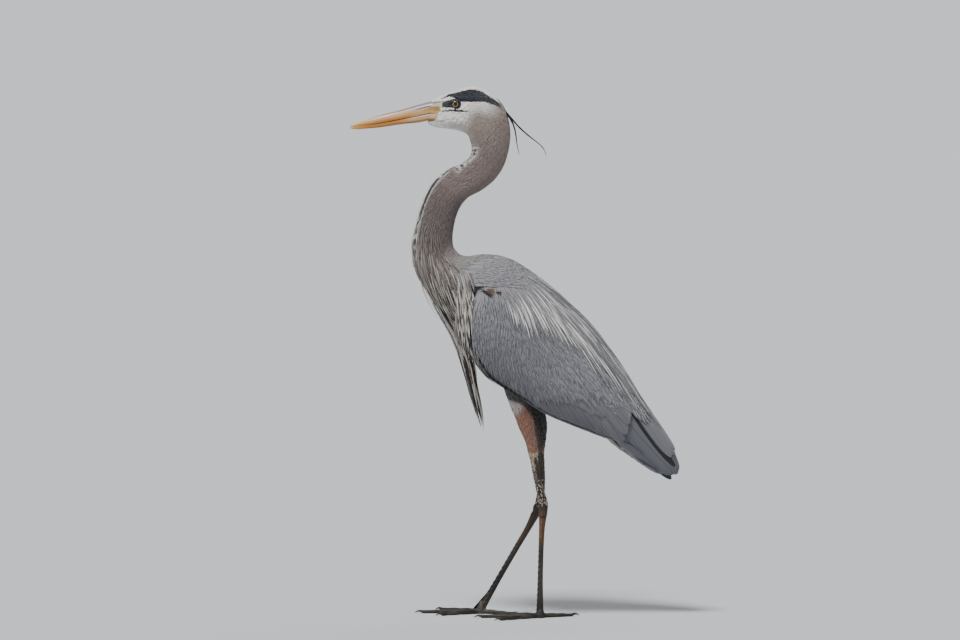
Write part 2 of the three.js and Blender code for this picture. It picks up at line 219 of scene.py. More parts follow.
# x, z and half depth of each length of each leg, in millimetres
LEGS = {
    "left": {
        "side": -1, "foot": 40,
        "thigh": [(0, 384, 22), (6, 350, 15.5), (12.5, 331, 14), (18, 312, 12.5), (24, 289, 8.5),
                  (28, 266, 6.4)],
        "shin": [(27.4, 270, 5.6), (32.5, 240, 5.6), (38, 214, 5.8), (43.6, 193.4, 6.8), (45.6, 181, 7.4)],
        "ankle": (45.6, 181.6),
        "tarsus": [(45.6, 181, 7.2), (44.8, 169.8, 6.6), (43, 146, 4.7), (41.5, 110, 4.2), (40.2, 60, 4.4),
                   (39.8, 16, 5.6), (40, 8, 6.0)],
    },
    "right": {
        "side": 1, "foot": -56,
        "thigh": [(4, 384, 22), (18, 350, 18), (30, 330, 16.5), (38, 311, 13), (41, 290, 9), (41, 272, 6.6)],
        "shin": [(40.4, 276, 5.6), (42, 240, 5.6), (42.4, 210, 5.8), (39.4, 182, 6.8), (37, 170, 7.4)],
        "ankle": (37, 170.6),
        "tarsus": [(37, 170, 7.2), (31.2, 159.6, 6.6), (20.5, 139, 5), (1, 106, 4.6), (-27, 57.5, 4.6),
                   (-50.5, 16, 5.6), (-54, 8, 6.0)],
    },
}
# turn from straight ahead in degrees, length and radius in millimetres
TOES = {"middle": (2, 96, 4.3), "inner": (-31, 74, 4.0), "outer": (36, 80, 4.0), "hind": (204, 58, 4.2)}

WING_STATIONS = len(FOLDED_WINGS) - 1
SHIN_FLATNESS, TARSUS_FLATNESS = 0.85, 0.8
body_form = on_loft(BODY, (2.1, 2.1))
wing_form = on_loft(FOLDED_WINGS, (2.0, 3.0))


def leg_form(leg, length, flatness):
    """The surface of one length of a leg, from its points of x, z and half depth."""
    points = np.array(leg[length], float)
    across = np.full(len(points), leg["side"] * STANCE * 1000)
    return on_limb(np.stack([points[:, 0], across, points[:, 1]], -1), points[:, 2], flatness)


# ---------------------------------------------------------------- markings
# The colours of an adult's plumage and bare skin, by their place on the bird. Skin and feathers take them
# from the same function: white face, black crown stripes, mauve neck, slate back, rufous thighs. Some darker
# tones are painted shade: under the neck's bend, in the groove under the chin, at the vent below the wing,
# along the wing's lower edge and on the inner side of each leg; the crown stripes carry a painted sheen.

WHITE, OFF_WHITE = linear("f0ede6"), linear("d6d0c7")
CROWN_BLACK, CROWN_PAINTED_SHEEN = linear("14161b"), linear("262c38")
LORE_DARK, LORE_GREEN = linear("1d2227"), linear("97965f")
EAR_GREY, NAPE_MAUVE, NECK_MAUVE = linear("998b82"), linear("82716a"), linear("7a6b66")
NECK_LOW, SHOULDER, SLATE = linear("7b706c"), linear("86827f"), linear("7a7a80")
PAINTED_NECK_SHADE = linear("655a56")
SLATE_DARK, SLATE_PALE, BACK_PALE = linear("66666c"), linear("88888e"), linear("87868a")
STREAK_BLACK, BELLY_BLACK = linear("1c1a18"), linear("18181b")
THIGH_RUFOUS, INNER_PAINTED_SHADE, VENT_PALE = linear("8f6653"), linear("1c1613"), linear("a89d92")
THIGH_GREY, SHANK_DARK, SHANK_WARM = linear("b5aba3"), linear("1e1914"), linear("6a4428")
SHANK_PALE, SHANK_CREAM = linear("978870"), linear("b09d86")
CROWN_WHITE_X = np.array([-125, -117, -107, -98, -80, -66, -50, -33, -24, -16]) / 1000
CROWN_WHITE_HALF = np.array([3.0, 5.0, 8.0, 10.2, 10.8, 10.6, 10.0, 8.8, 6.5, 1.5]) / 1000
STRIPE_LOW_X = np.array([-121, -114, -106, -101, -97, -92, -85, -57, -46, -41, -33, -28, -20, -8, 2]) / 1000
STRIPE_LOW_Z = np.array([839.6, 842.6, 844.5, 843.2, 840, 837, 836.3, 836.3, 835.2, 833, 830, 827.5, 823,
                         806, 780]) / 1000
SHOULDER_POINT = np.array([-0.074, 0.0, 0.690])

line_places = np.linspace(0, len(BODY) - 1, 231)
line_rows = smooth_line(np.array(BODY) / 1000, line_places)
line_centres = (line_rows[:, 0:2] + line_rows[:, 2:4]) / 2
line_reaches = (line_rows[:, 0:2] - line_rows[:, 2:4]) / 2


def ease(value, low, high):
    """0 below low, 1 above high, and the smooth cubic 3t^2 - 2t^3 between them."""
    t = np.clip((value - low) / (high - low), 0, 1)
    return t * t * (3 - 2 * t)


def band(value, low, high, soft):
    """1 between low and high, with soft edges."""
    return ease(value, low - soft, low + soft) * (1 - ease(value, high - soft, high + soft))


def place_on_body(points):
    """The nearest station of the body's centre line, and the turn from the front line (0 in front,
    half a turn at the back), for each point."""
    flat = points[:, [0, 2]]
    nearest = np.concatenate([
        np.argmin(((part[:, None, :] - line_centres) ** 2).sum(-1), axis=1)
        for part in np.array_split(flat, max(1, len(flat) // 20000))
    ])
    reach = line_reaches[nearest]
    depth = (reach ** 2).sum(-1)
    back = ((flat - line_centres[nearest]) * reach).sum(-1) / depth
    half = np.maximum(line_rows[nearest, 4], 0.004)
    return line_places[nearest], np.arctan2(np.abs(points[:, 1]) / half, -back)


def wobble(points, size, seed):
    """A smooth irregular value from -1 to 1: the sum of three sine waves in skew directions."""
    rng = np.random.default_rng(seed)
    waves = [np.sin(points @ rng.normal(0, 1 / size, 3) + rng.uniform(0, 6.28)) for _ in range(3)]
    return sum(waves) / 3


GAPE_PINK, GAPE_BROWN, HORN_YELLOW_SKIN = linear("a98e76"), linear("8a6a48"), linear("b09343")
GAPE_Z = np.array([803, 806, 812, 819, 821.5, 828, 831, 833]) / 1000
GAPE_X = np.array([-141, -131, -127.5, -124.5, -121, -121.5, -128, -134]) / 1000


def gape(points, soft):
    """1 on the bare skin at the corner of the mouth, in front of the line where the feathers begin."""
    x, y, z = points.T
    line = np.interp(z, GAPE_Z, GAPE_X)
    return (1 - ease(x - line, -soft, soft)) * band(z, 0.803, 0.8345, soft) * (x < -0.11)


def brush(colour):
    """A function that lays a tone over rows of colours, as strongly as a mask from 0 to 1 says."""
    def lay(tone, mask):
        colour[:] = colour + np.clip(mask, 0, 1)[:, None] * (tone - colour)
    return lay


def blend(first, second, share):
    """A colour for each point: the first one, carried to the second by the point's share."""
    return first + share[:, None] * (second - first)


def plumage(points, part="body"):
    """The colour at each point: a ground tone along the bird, then each marking and each patch of painted
    shade laid over it, with softened edges. part picks the plumage of a wing, a thigh or the bare leg over
    the body's."""
    points = np.asarray(points, float)
    x, y, z = points.T
    half = np.abs(y)
    station, fore = place_on_body(points)
    irregular = wobble(points, 0.011, 5)
    colour = np.tile(NECK_MAUVE, (len(points), 1))
    lay = brush(colour)
    if part == "body":
        # painted shade under the neck's bend: darker all round from station 10, and darker still at the back
        # of the bend
        lay(PAINTED_NECK_SHADE, ease(station, 10, 12.5))
        painted_bend_shade = ease(station, 7.4, 11.0) * (1 - ease(station, 11.6, 14.4)) * ease(fore, 1.7, 2.7)
        lay(PAINTED_NECK_SHADE * 0.5, painted_bend_shade * 0.52)
        lay(NECK_LOW, ease(station, 13.5, 15.5))
        lay(SHOULDER, ease(station, 15.3, 17.2) * ease(fore, 0.9, 1.7))
        lay(BACK_PALE, ease(station, 16.5, 18.5) * ease(fore, 1.2, 2.0))
        lay(SLATE, ease(station, 16.5, 18) * (1 - ease(fore, 1.4, 1.9)))
        # foreneck: a white strip with a broken black line on each side
        front = band(station, 7.6, 17.5, 0.5)
        lay(OFF_WHITE, front * (1 - ease(fore, 0.66, 0.80 + 0.12 * irregular)) * 0.9)
        dash = np.sin(station * 17 + irregular * 3) > -0.80
        lay(STREAK_BLACK, front * band(fore, 0.39, 0.67, 0.05) * dash)
        lay(WHITE, front * (1 - ease(fore, 0.30, 0.40)) * 0.8)
        # throat and chin
        lay(OFF_WHITE, (1 - ease(station, 4.6, 7.0)) * (1 - ease(fore, 0.7, 1.2)))
        lay(NAPE_MAUVE, band(station, 4.4, 9.0, 0.8) * ease(fore, 1.9, 2.5) * 0.6)
        # belly: black, with a white middle in front, a dim tone towards the vent that is painted shade below
        # the wing, and pale feathers over it
        breast = band(station, 17.2, 23.5, 0.3) * (1 - ease(fore, 0.95, 1.3))
        lay(BELLY_BLACK, breast)
        lay(WHITE * 0.9, breast * (1 - ease(fore, 0.22, 0.34)) * (1 - ease(station, 17.8, 18.3)))
        lay(VENT_PALE * 0.55, ease(station, 20.6, 21.6) * (1 - ease(fore, 1.5, 2.0)))
        lay(VENT_PALE, ease(station, 20.9, 21.9) * (1 - ease(fore, 1.3, 2.0)) * ease(irregular, -0.3, 0.5))
        # the upper end of the foreneck's black lines breaks up into slanting dashes
        chevron = np.sin(station * 16 + fore * 5 + irregular)
        start = band(station, 6.8, 9.9, 0.3) * (1 - ease(fore, 1.08, 1.36 + 0.15 * irregular))
        lay(OFF_WHITE, start * 0.9)
        lay(STREAK_BLACK, start * ease(chevron, -0.10, 0.25) * ease(fore, 0.15, 0.35))
        head = 1 - ease(station, 4.9, 6.3)
        lay(EAR_GREY, (1 - ease(station, 4.2, 7.6)) * 0.9)
        lay(NAPE_MAUVE, head * ease(x, -0.050, -0.016) * (1 - ease(z, 0.806, 0.840)) * 0.75)
        lay(WHITE, head * (1 - ease(x - 0.45 * (z - 0.82), -0.087, -0.056)))
        lay(WHITE, head * ease(z + 0.25 * x, 0.795, 0.8195) * (1 - ease(x, -0.056, -0.018)) * 0.92)
        lay(WHITE, head * (half < 0.0125) * (z > 0.835))
        # painted shade: a grey line in the groove under the chin
        lay(OFF_WHITE * 0.62, head * band(z, 0.8035, 0.8055, 0.0012) * band(x, -0.137, -0.115, 0.004))
        lay(EAR_GREY, head * band(z, 0.792, 0.803, 0.004) * band(x, -0.108, -0.085, 0.006) * 0.45)
        # the dark line under the eye, the short bar that joins it to the eye, and the lore
        under = 0.8216 + 0.0007 * np.sin((x + 0.115) * 110)
        heavy = 0.0009 + 0.0010 * np.exp(-((x + 0.096) / 0.012) ** 2)
        line = head * band(z, under - heavy, under + heavy, 0.0006) * band(x, -0.1215, -0.074, 0.003)
        lay(STREAK_BLACK, line)
        below_eye = band(x, EYE_PLACE[0] - 0.0016, EYE_PLACE[0] + 0.0016, 0.0006)
        lay(STREAK_BLACK, head * band(z, 0.821, 0.827, 0.001) * below_eye)
        lore_low = np.interp(x, [-0.121, -0.112, -0.105, -0.097], [0.8285, 0.8262, 0.8268, 0.8262])
        lore_high = np.interp(x, [-0.121, -0.112, -0.104, -0.098], [0.8342, 0.8374, 0.8394, 0.8404])
        lay(LORE_DARK, head * ease(z, lore_low - 0.0006, lore_low + 0.0006)
            * (1 - ease(z, lore_high - 0.0006, lore_high + 0.0006)) * band(x, -0.1195, -0.093, 0.0012))
        lay(LORE_GREEN, head * band(x, -0.135, -0.120, 0.0015) * band(z, 0.8268, 0.8352, 0.001)
            * (0.75 + 0.25 * irregular))
        lay(LORE_DARK, head * band(x, -0.132, -0.121, 0.002) * band(z, 0.8345, 0.8362, 0.0007) * 0.7)
        # the horn's colour runs back over bare skin at the corner of the mouth
        corner = gape(points, 0.0008)
        lay(GAPE_PINK, corner * (z < 0.829))
        lay(HORN_YELLOW_SKIN, corner * band(z, 0.8215, 0.8255, 0.0008))
        lay(GAPE_BROWN, corner * (1 - ease(z, 0.8085, 0.8125)))
        lay(GAPE_BROWN * 0.35, corner * band(z, 0.8160, 0.8174, 0.0005))
        # black crown stripes on each side of the white middle
        white_half = np.interp(x, CROWN_WHITE_X, CROWN_WHITE_HALF)
        stripe_low = np.interp(x, STRIPE_LOW_X, STRIPE_LOW_Z)
        above = ease(z, stripe_low - 0.0006, stripe_low + 0.0006)
        stripe = ease(half, white_half - 0.0005, white_half + 0.0005) * above * ease(x, -0.122, -0.119)
        thin = np.interp(x, [-0.122, -0.112, -0.104, -0.098], [0.0008, 0.0018, 0.0100, 0.0500])
        stripe = stripe * (1 - ease(z - stripe_low, thin, thin + 0.0010))
        nape_line = ease(x, -0.034, -0.026) * (1 - ease(half, 0.004, 0.006)) * ease(fore, 2.4, 2.6)
        crest = np.maximum(stripe * (1 - ease(x, -0.028, -0.018)), nape_line * (1 - ease(station, 6.2, 6.9)))
        # a painted bluish sheen along the upper part of each crown stripe
        sheen = band(z - stripe_low, 0.0045, 0.0125, 0.002) * band(x, -0.108, -0.048, 0.01)
        lay(blend(CROWN_BLACK, CROWN_PAINTED_SHEEN, sheen), head * crest)
    if part == "wing":
        lay(SLATE, np.ones(len(x)))
        away = np.hypot(x - SHOULDER_POINT[0], z - SHOULDER_POINT[2])
        lay(BACK_PALE, 1 - ease(away, 0.17, 0.235))
        lay(SLATE_DARK, band(away, 0.235, 0.30, 0.03) * 0.35)
        lay(SLATE_PALE, band(away, 0.31, 0.36, 0.025) * 0.25)
        lay(SLATE_DARK, ease(away, 0.37, 0.5) * 0.75)
        # painted shade: darker towards the wing's lower edge, where it turns under
        lay(SLATE_DARK * 0.62, (1 - ease(z - wing_low(x), 0.0, 0.085)) * 0.75)
        lay(BELLY_BLACK, band(x, -0.047, 0.012, 0.006) * (1 - ease(z - wing_low(x), 0.004, 0.011)))
    if part == "thigh":
        lay(THIGH_RUFOUS, np.ones(len(x)))
        lay(THIGH_GREY, ease(irregular, 0.1, 0.8) * 0.45)
        lay(THIGH_GREY, ease(z - 0.75 * (x + 0.0034) - 0.329 + 0.008 * irregular, -0.012, 0.010))
        under_belly = z + 0.27 * (x + 0.008) + 35 * np.maximum(x - 0.005, 0) ** 2
        lay(BELLY_BLACK, ease(under_belly, 0.351, 0.356) * 0.92)
        lay(SHANK_CREAM, 1 - ease(z, 0.262, 0.272))
        # painted shade on the inner side of each thigh
        lay(INNER_PAINTED_SHADE, ease(STANCE - half, 0.000, 0.009) * 0.92)
    if part == "leg":
        lay(SHANK_DARK, np.ones(len(x)))
        lay(SHANK_WARM, band(z, 0.120, 0.172, 0.012) * (0.65 + 0.35 * irregular))
        lay(SHANK_PALE, (0.02 + 0.11 * irregular) * np.ones(len(x)))
        lay(SHANK_DARK * 0.5, band(z, 0.1625, 0.1665, 0.001) * 0.8)
        in_front = ease(np.interp(z, [0.20, 0.27], [0.041, 0.029]) - x, -0.001, 0.003) * (y < 0)
        lay(SHANK_CREAM, ease(z, 0.208, 0.246) * (0.40 + 0.4 * irregular + 0.5 * in_front))
        # painted shade on the inner side of each bare leg, above the foot
        lay(INNER_PAINTED_SHADE, ease(STANCE - half, 0.000, 0.005) * ease(z, 0.02, 0.06) * 0.75)
    return colour * (1 + 0.035 * wobble(points, 0.004, 9))[:, None]


wing_low_x = np.array([point[0] for point in WING_LOWER_EDGE]) / 1000
wing_low_z = np.array([point[1] for point in WING_LOWER_EDGE]) / 1000


def wing_low(x):
    """The height of the folded wing's lower edge at x."""
    return np.interp(x, wing_low_x, wing_low_z)


# ---------------------------------------------------------------- skin
# One closed skin under the whole plumage and over the bare legs and feet: lofts and tubes melted
# into one surface, with a ring of lids round each eye. It lies inside the feathers by their depth.

HEAD_COAT, NECK_COAT, TRUNK_COAT, WING_COAT, THIGH_COAT = 0.0012, 0.0030, 0.0045, 0.0042, 0.0030
EYE_PLACE = np.array([-0.0973, 0.0122, 0.8327])
EYE_RADIUS = 0.0095
# size of the small faces that each part of the skin is melted into
HEAD_VOXEL, TRUNK_VOXEL, LEG_VOXEL = 0.00122, 0.0032, 0.00100


def tube_faces(rings, around):
    """Faces of a closed tube: rows of four-sided faces, and three-sided ones up to a pole at each
    end. The poles are the last two points."""
    i, j = np.meshgrid(np.arange(rings - 1), np.arange(around), indexing="ij")
    k = (j + 1) % around
    quads = np.stack([i * around + j, (i + 1) * around + j, (i + 1) * around + k, i * around + k], -1)
    j = np.arange(around)
    k = (j + 1) % around
    first, last = np.full(around, rings * around), np.full(around, rings * around + 1)
    start = np.stack([first, j, k], -1)
    end = np.stack([last, (rings - 1) * around + k, (rings - 1) * around + j], -1)
    return quads.reshape(-1, 4), np.concatenate([start, end])


def closed_tube(surface, places, around, lift=0.0):
    """Points and faces of a tube round a surface, closed by a pole in the middle of each end ring."""
    place, turn = np.meshgrid(places, np.arange(around) * 2 * np.pi / around, indexing="ij")
    lifts = np.broadcast_to(np.asarray(lift, float).reshape(-1, 1), place.shape)
    return with_poles(surface(place, turn, lifts)), *tube_faces(len(places), around)


def with_poles(rings):
    """The points of a tube's rings, then a pole in the middle of its first and its last ring."""
    return np.concatenate([rings.reshape(-1, 3), [rings[0].mean(0)], [rings[-1].mean(0)]])


def volume_of(points, quads, triangles):
    """The signed volume inside closed faces: a sixth of the sum of each triangle's triple product."""
    split = np.concatenate([quads[:, [0, 1, 2]], quads[:, [0, 2, 3]], triangles])
    a, b, c = (points[split[:, k]] for k in range(3))
    return (a * np.cross(b, c)).sum() / 6


def join_shells(name, shells):
    """One piece from several closed shells, each turned so that its faces point outwards."""
    points, quads, triangles, count = [], [], [], 0
    for shell_points, shell_quads, shell_triangles in shells:
        turned = volume_of(shell_points, shell_quads, shell_triangles) < 0
        points.append(shell_points)
        quads.append((shell_quads[:, ::-1] if turned else shell_quads) + count)
        triangles.append((shell_triangles[:, ::-1] if turned else shell_triangles) + count)
        count += len(shell_points)
    return build_mesh(name, np.concatenate(points), np.concatenate(quads), np.concatenate(triangles))


def apply_modifiers(piece):
    """The piece with its modifiers made part of its mesh."""
    graph = bpy.context.evaluated_depsgraph_get()
    mesh = bpy.data.meshes.new_from_object(piece.evaluated_get(graph), depsgraph=graph)
    piece.modifiers.clear()
    mesh.materials.clear()
    piece.data = mesh
    return piece


def melted(name, shells, voxel, smoothing):
    """Shells melted into one skin of even small faces, then smoothed a few times."""
    piece = join_shells(name, shells)
    remesh = piece.modifiers.new("melt", "REMESH")
    remesh.mode = "VOXEL"
    remesh.voxel_size = voxel
    smooth = piece.modifiers.new("smooth", "SMOOTH")
    smooth.factor = 0.5
    smooth.iterations = smoothing
    return apply_modifiers(piece)


def combined(piece, other, how):
    """The piece joined with, or cut to, another closed piece, which is then taken away."""
    modifier = piece.modifiers.new(how, "BOOLEAN")
    modifier.operation = how
    modifier.solver = "MANIFOLD"
    modifier.object = other
    apply_modifiers(piece)
    bpy.data.objects.remove(other)
    return piece


def lid_ring(side):
    """The lids as a thick ring on the eyeball: a flat oval profile, sloping with the ball, carried
    round the eye. The opening is a little longer than high, with a corner in front and a lower
    brow above."""
    rings, sides = 72, 14
    around, profile = np.meshgrid(np.arange(rings) * 2 * np.pi / rings, np.arange(sides) * 2 * np.pi / sides,
                                  indexing="ij")
    slope = 0.62
    wide, thick = 0.0021 * np.cos(profile), 0.00085 * np.sin(profile)
    radius = 0.0079 + wide * math.cos(slope) + thick * math.sin(slope)
    out = 0.0064 - wide * math.sin(slope) + thick * math.cos(slope)
    corner = 0.0016 * np.exp(-((np.angle(np.exp(1j * (around - np.pi)))) / 0.42) ** 2)
    fold = 1 + 0.012 * np.sin(around * 22)
    brow = 0.0019 * np.exp(-((np.angle(np.exp(1j * (around - 1.75)))) / 0.75) ** 2)
    radius = radius * fold * (1 + 0.05 * np.cos(2 * around)) + corner - brow
    points = np.stack([EYE_PLACE[0] + radius * np.cos(around), side * (EYE_PLACE[1] + out - corner * 1.2),
                       EYE_PLACE[2] + radius * np.sin(around)], -1)
    i, j = np.meshgrid(np.arange(rings), np.arange(sides), indexing="ij")
    p, q = (i + 1) % rings, (j + 1) % sides
    quads = np.stack([i * sides + j, p * sides + j, p * sides + q, i * sides + q], -1).reshape(-1, 4)
    return points.reshape(-1, 3), quads, np.zeros((0, 3), int)


def toe_points(leg, toe, start, end, heights):
    """Three points along a toe, from its foot's centre outwards, at the given heights."""
    turn = math.radians(TOES[toe][0]) * leg["side"]
    distances = np.array([start, (start + end) / 2, end])
    return np.stack([leg["foot"] - math.cos(turn) * distances,
                     leg["side"] * STANCE * 1000 + math.sin(turn) * distances, heights], -1)


def toe_form(leg, toe):
    """A toe that thins towards its claw and swells at its joints."""
    _, length, radius = TOES[toe]
    along = np.linspace(0, 1, 13)
    sizes = radius * (1 - 0.42 * along) * (1 + 0.10 * np.cos(6 * np.pi * along))
    return on_limb(toe_points(leg, toe, 2, length, (4.2, 3.4, 2.4)), sizes)


def mesh_points(piece):
    """The points of a piece's mesh as rows of x, y and z."""
    flat = np.zeros(len(piece.data.vertices) * 3, np.float32)
    piece.data.vertices.foreach_get("co", flat)
    return flat.reshape(-1, 3).astype(float)


def wing_edge_line(lower_edge):
    """The folded wing's outline from the side: down its front edge, then back along the lower one."""
    front = smooth_line(WING_FRONT_EDGE + [lower_edge[0]], np.linspace(0, 4, 20)[:-1])
    return np.concatenate([front, smooth_line(lower_edge, np.linspace(0, len(lower_edge) - 1, 30))])


AROUND_BODY = 64
head_places = np.linspace(0, 6.2, 90)
head_lift = -HEAD_COAT - 0.003 * ease(head_places, 5.0, 6.2)
head_skin = melted("skin_head", [closed_tube(body_form, head_places, AROUND_BODY, head_lift)], HEAD_VOXEL, 3)

# the wings' shell, cut by a plate with the outline that the folded wings have from the side
wing_places = np.linspace(0, WING_STATIONS, 70)
wing_skin = join_shells("skin_wings", [closed_tube(wing_form, wing_places, AROUND_BODY, -WING_COAT)])
beyond_the_wing = [(285, 215), (300, 330), (200, 500), (60, 620)]
outline = np.concatenate([wing_edge_line(WING_LOWER_EDGE), beyond_the_wing]) / 1000 + 0.004
edge = np.arange(len(outline))
after = (edge + 1) % len(edge)
plate_points = np.concatenate([np.insert(outline, 1, y, axis=1) for y in (-0.12, 0.12)])
plate_sides = np.stack([edge, after, after + len(edge), edge + len(edge)], -1)
plate = build_mesh("wing_outline", plate_points, plate_sides, edge[None, ::-1], edge[None, :] + len(edge))
wing_skin = combined(wing_skin, plate, "INTERSECT")
wing_skin.data.calc_loop_triangles()
wing_triangles = np.zeros(len(wing_skin.data.loop_triangles) * 3, int)
wing_skin.data.loop_triangles.foreach_get("vertices", wing_triangles)
wing_shell = (mesh_points(wing_skin), np.zeros((0, 4), int), wing_triangles.reshape(-1, 3))
bpy.data.objects.remove(wing_skin)

neck_places = np.linspace(4.6, len(BODY) - 1, 170)
neck_lift = (-NECK_COAT - (TRUNK_COAT - NECK_COAT) * ease(neck_places, 14, 18)
             - 0.003 * (1 - ease(neck_places, 4.6, 5.7)))
thighs = [closed_tube(leg_form(leg, "thigh", 1.0), np.linspace(0, 1, 40), 32, -THIGH_COAT)
          for leg in LEGS.values()]
trunk_shell = closed_tube(body_form, neck_places, AROUND_BODY, neck_lift)
trunk_skin = melted("skin_trunk", [trunk_shell, wing_shell, *thighs], TRUNK_VOXEL, 6)

leg_shells = []
for leg in LEGS.values():
    foot, line_y, (ankle_x, ankle_z) = leg["foot"], leg["side"] * STANCE * 1000, leg["ankle"]
    knuckle = [(ankle_x - 1, line_y, ankle_z + height) for height in (10.5, 0, -10.5)]
    pad = [(foot, line_y, height) for height in (21, 14, 7, 0)]
    for surface, rings, around in (
            (leg_form(leg, "shin", SHIN_FLATNESS), 120, 40),
            (leg_form(leg, "tarsus", TARSUS_FLATNESS), 120, 40),
            (on_limb(knuckle, (2.4, 6, 7.4, 7.8, 7.6, 6, 2.4), 0.82), 24, 32),
            (on_limb(pad, (1.2, 5.0, 7.2, 8.2)), 18, 32),
            *((toe_form(leg, toe), 70, 24) for toe in TOES)):
        leg_shells.append(closed_tube(surface, np.linspace(0, 1, rings), around))
leg_skin = melted("skin_legs", leg_shells, LEG_VOXEL, 2)

skin = combined(trunk_skin, head_skin, "UNION")
skin = combined(skin, leg_skin, "UNION")
skin = combined(skin, join_shells("lids", [lid_ring(-1), lid_ring(1)]), "UNION")
skin.name = skin.data.name = "skin"


def add_colour(piece, name, colours):
    """A colour for each point of the mesh, kept as an attribute of that name."""
    layer = piece.data.attributes.new(name, "FLOAT_COLOR", "POINT")
    rows = np.concatenate([colours, np.ones((len(colours), 1))], -1)
    layer.data.foreach_set("color", rows.astype(np.float32).ravel())


def add_value(piece, name, values):
    """A number for each point of the mesh, kept as an attribute of that name."""
    layer = piece.data.attributes.new(name, "FLOAT", "POINT")
    layer.data.foreach_set("value", np.asarray(values, np.float32))


def smooth_shaded(piece):
    """Shades every face of the piece smoothly."""
    piece.data.polygons.foreach_set("use_smooth", np.ones(len(piece.data.polygons), bool))


points = mesh_points(skin)
x, y, z = points.T
near_leg = (x < 0.15) & ((z < 0.215) | (z < 0.275) & (np.abs(y) > 0.012))
on_wing = (x > 0.19) | (z < 0.60) & (np.abs(y) > 0.02) & (z > wing_low(x) - 0.004) & (x > -0.078)
on_thigh = (z < 0.36) & (z > 0.262) & (x > -0.03) & (x < 0.07)
on_thigh &= (z < wing_low(x) + 0.004) & (np.abs(y) > 0.01)
tones = plumage(points)
for part, chosen in (("wing", on_wing), ("thigh", on_thigh), ("leg", near_leg)):
    tones[chosen] = plumage(points[chosen], part)
eye_away = np.sqrt((x - EYE_PLACE[0]) ** 2 + (z - EYE_PLACE[2]) ** 2)
lid = (1 - ease(eye_away, 0.0088, 0.0108)) * (z > 0.8)
brush(tones)(linear("23252a"), lid)
add_colour(skin, "plumage", tones)
add_value(skin, "scaly", near_leg.astype(float))
smooth_shaded(skin)


def result_of(tree, kind, settings, *values):
    """The first output of a node whose inputs, in their order, are the values or sockets given."""
    inputs = {f"i{k}": value for k, value in enumerate(values)}
    return add_node(tree, kind, settings, **inputs).outputs[0]


def calculate(tree, operation, *values):
    """The result of a Math node."""
    return result_of(tree, "ShaderNodeMath", {"operation": operation}, *values)


def carried(tree, value, low, high, low_result, high_result, kind="LINEAR"):
    """A value carried from one range to another, straight or by the smooth step."""
    return result_of(tree, "ShaderNodeMapRange", {"interpolation_type": kind}, value, low, high, low_result,
                     high_result)


def scaled(tree, colour, amount):
    """A colour times an amount."""
    return add_node(tree, "ShaderNodeVectorMath", {"operation": "SCALE"}, i0=colour, Scale=amount).outputs[0]


def noise(tree, place, scale, detail, dimensions="3D"):
    """The grey value of soft noise at a place."""
    return add_node(tree, "ShaderNodeTexNoise", {"noise_dimensions": dimensions}, Vector=place, Scale=scale,
                    Detail=detail).outputs["Fac"]


def attribute(tree, name, socket="Color"):
    """A value that the mesh carries at each point."""
    return add_node(tree, "ShaderNodeAttribute", {"attribute_name": name}).outputs[socket]


def object_place(tree):
    """The place on the piece, in metres."""
    return add_node(tree, "ShaderNodeTexCoord").outputs["Object"]


def surface_looks(tree, shader, colour, height, strength, distance):
    """Joins a colour to the shader, and a height as a bump of that strength and distance."""
    bump = add_node(tree, "ShaderNodeBump", Strength=strength, Distance=distance, Height=height)
    tree.links.new(colour, shader.inputs["Base Color"])
    tree.links.new(bump.outputs[0], shader.inputs["Normal"])


skin_finish, tree, shader = new_material("skin", 0.55)
place = object_place(tree)
scaly = attribute(tree, "scaly", "Fac")
cells = add_node(tree, "ShaderNodeTexVoronoi", {"feature": "DISTANCE_TO_EDGE"}, Vector=place, Scale=420.0)
crack = carried(tree, cells.outputs["Distance"], 0.0, 0.22, 0.0, 1.0, "SMOOTHSTEP")
height = calculate(tree, "MULTIPLY_ADD", noise(tree, place, 900.0, 3.0), 0.25,
                   calculate(tree, "MULTIPLY", crack, scaly))
shade = add_node(tree, "ShaderNodeMix", {"data_type": "FLOAT"}, i0=scaly, i2=1.0,
                 i3=carried(tree, crack, 0.0, 1.0, 0.55, 1.12)).outputs[0]
surface_looks(tree, shader, scaled(tree, attribute(tree, "plumage"), shade), height, 0.5, 0.0004)
skin.data.materials.append(skin_finish)
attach(skin, "root")
flesh = ["head", "neck_upper", "neck_middle", "neck_lower", "trunk"]
for name in LEGS:
    flesh += [f"{part}_{name}" for part in ("wing", "scapulars", "thigh", "shin", "ankle", "tarsus", "foot")]
    flesh += [f"toe_{toe}_{name}" for toe in TOES]
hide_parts(*flesh)


# ---------------------------------------------------------------- eyes
# A glass eye on each side: a ball with a low bulge in front, a yellow iris with fine rays that is darker at
# its rim, and a round black pupil, the upper part darkened by painted shade from the brow. The lids hold it.

def eye_ball(name, side):
    """A ball from its front pole to its back pole, with the cornea's low bulge round the front pole."""
    rings, around = 40, 56
    falls, turns = np.linspace(0, np.pi, rings + 2)[1:-1], np.arange(around) * 2 * np.pi / around
    fall, turn = np.meshgrid(falls, turns, indexing="ij")
    reach = EYE_RADIUS + 0.0006 * np.exp(-(fall / 0.55) ** 4)
    ring = np.stack([reach * np.sin(fall) * np.cos(turn), side * reach * np.cos(fall),
                     reach * np.sin(fall) * np.sin(turn)], -1)
    poles = np.array([[0, side * (EYE_RADIUS + 0.0006), 0], [0, -side * EYE_RADIUS, 0]])
    points = np.concatenate([ring.reshape(-1, 3), poles]) + EYE_PLACE * (1, side, 1)
    return join_shells(name, [(points, *tube_faces(rings, around))])


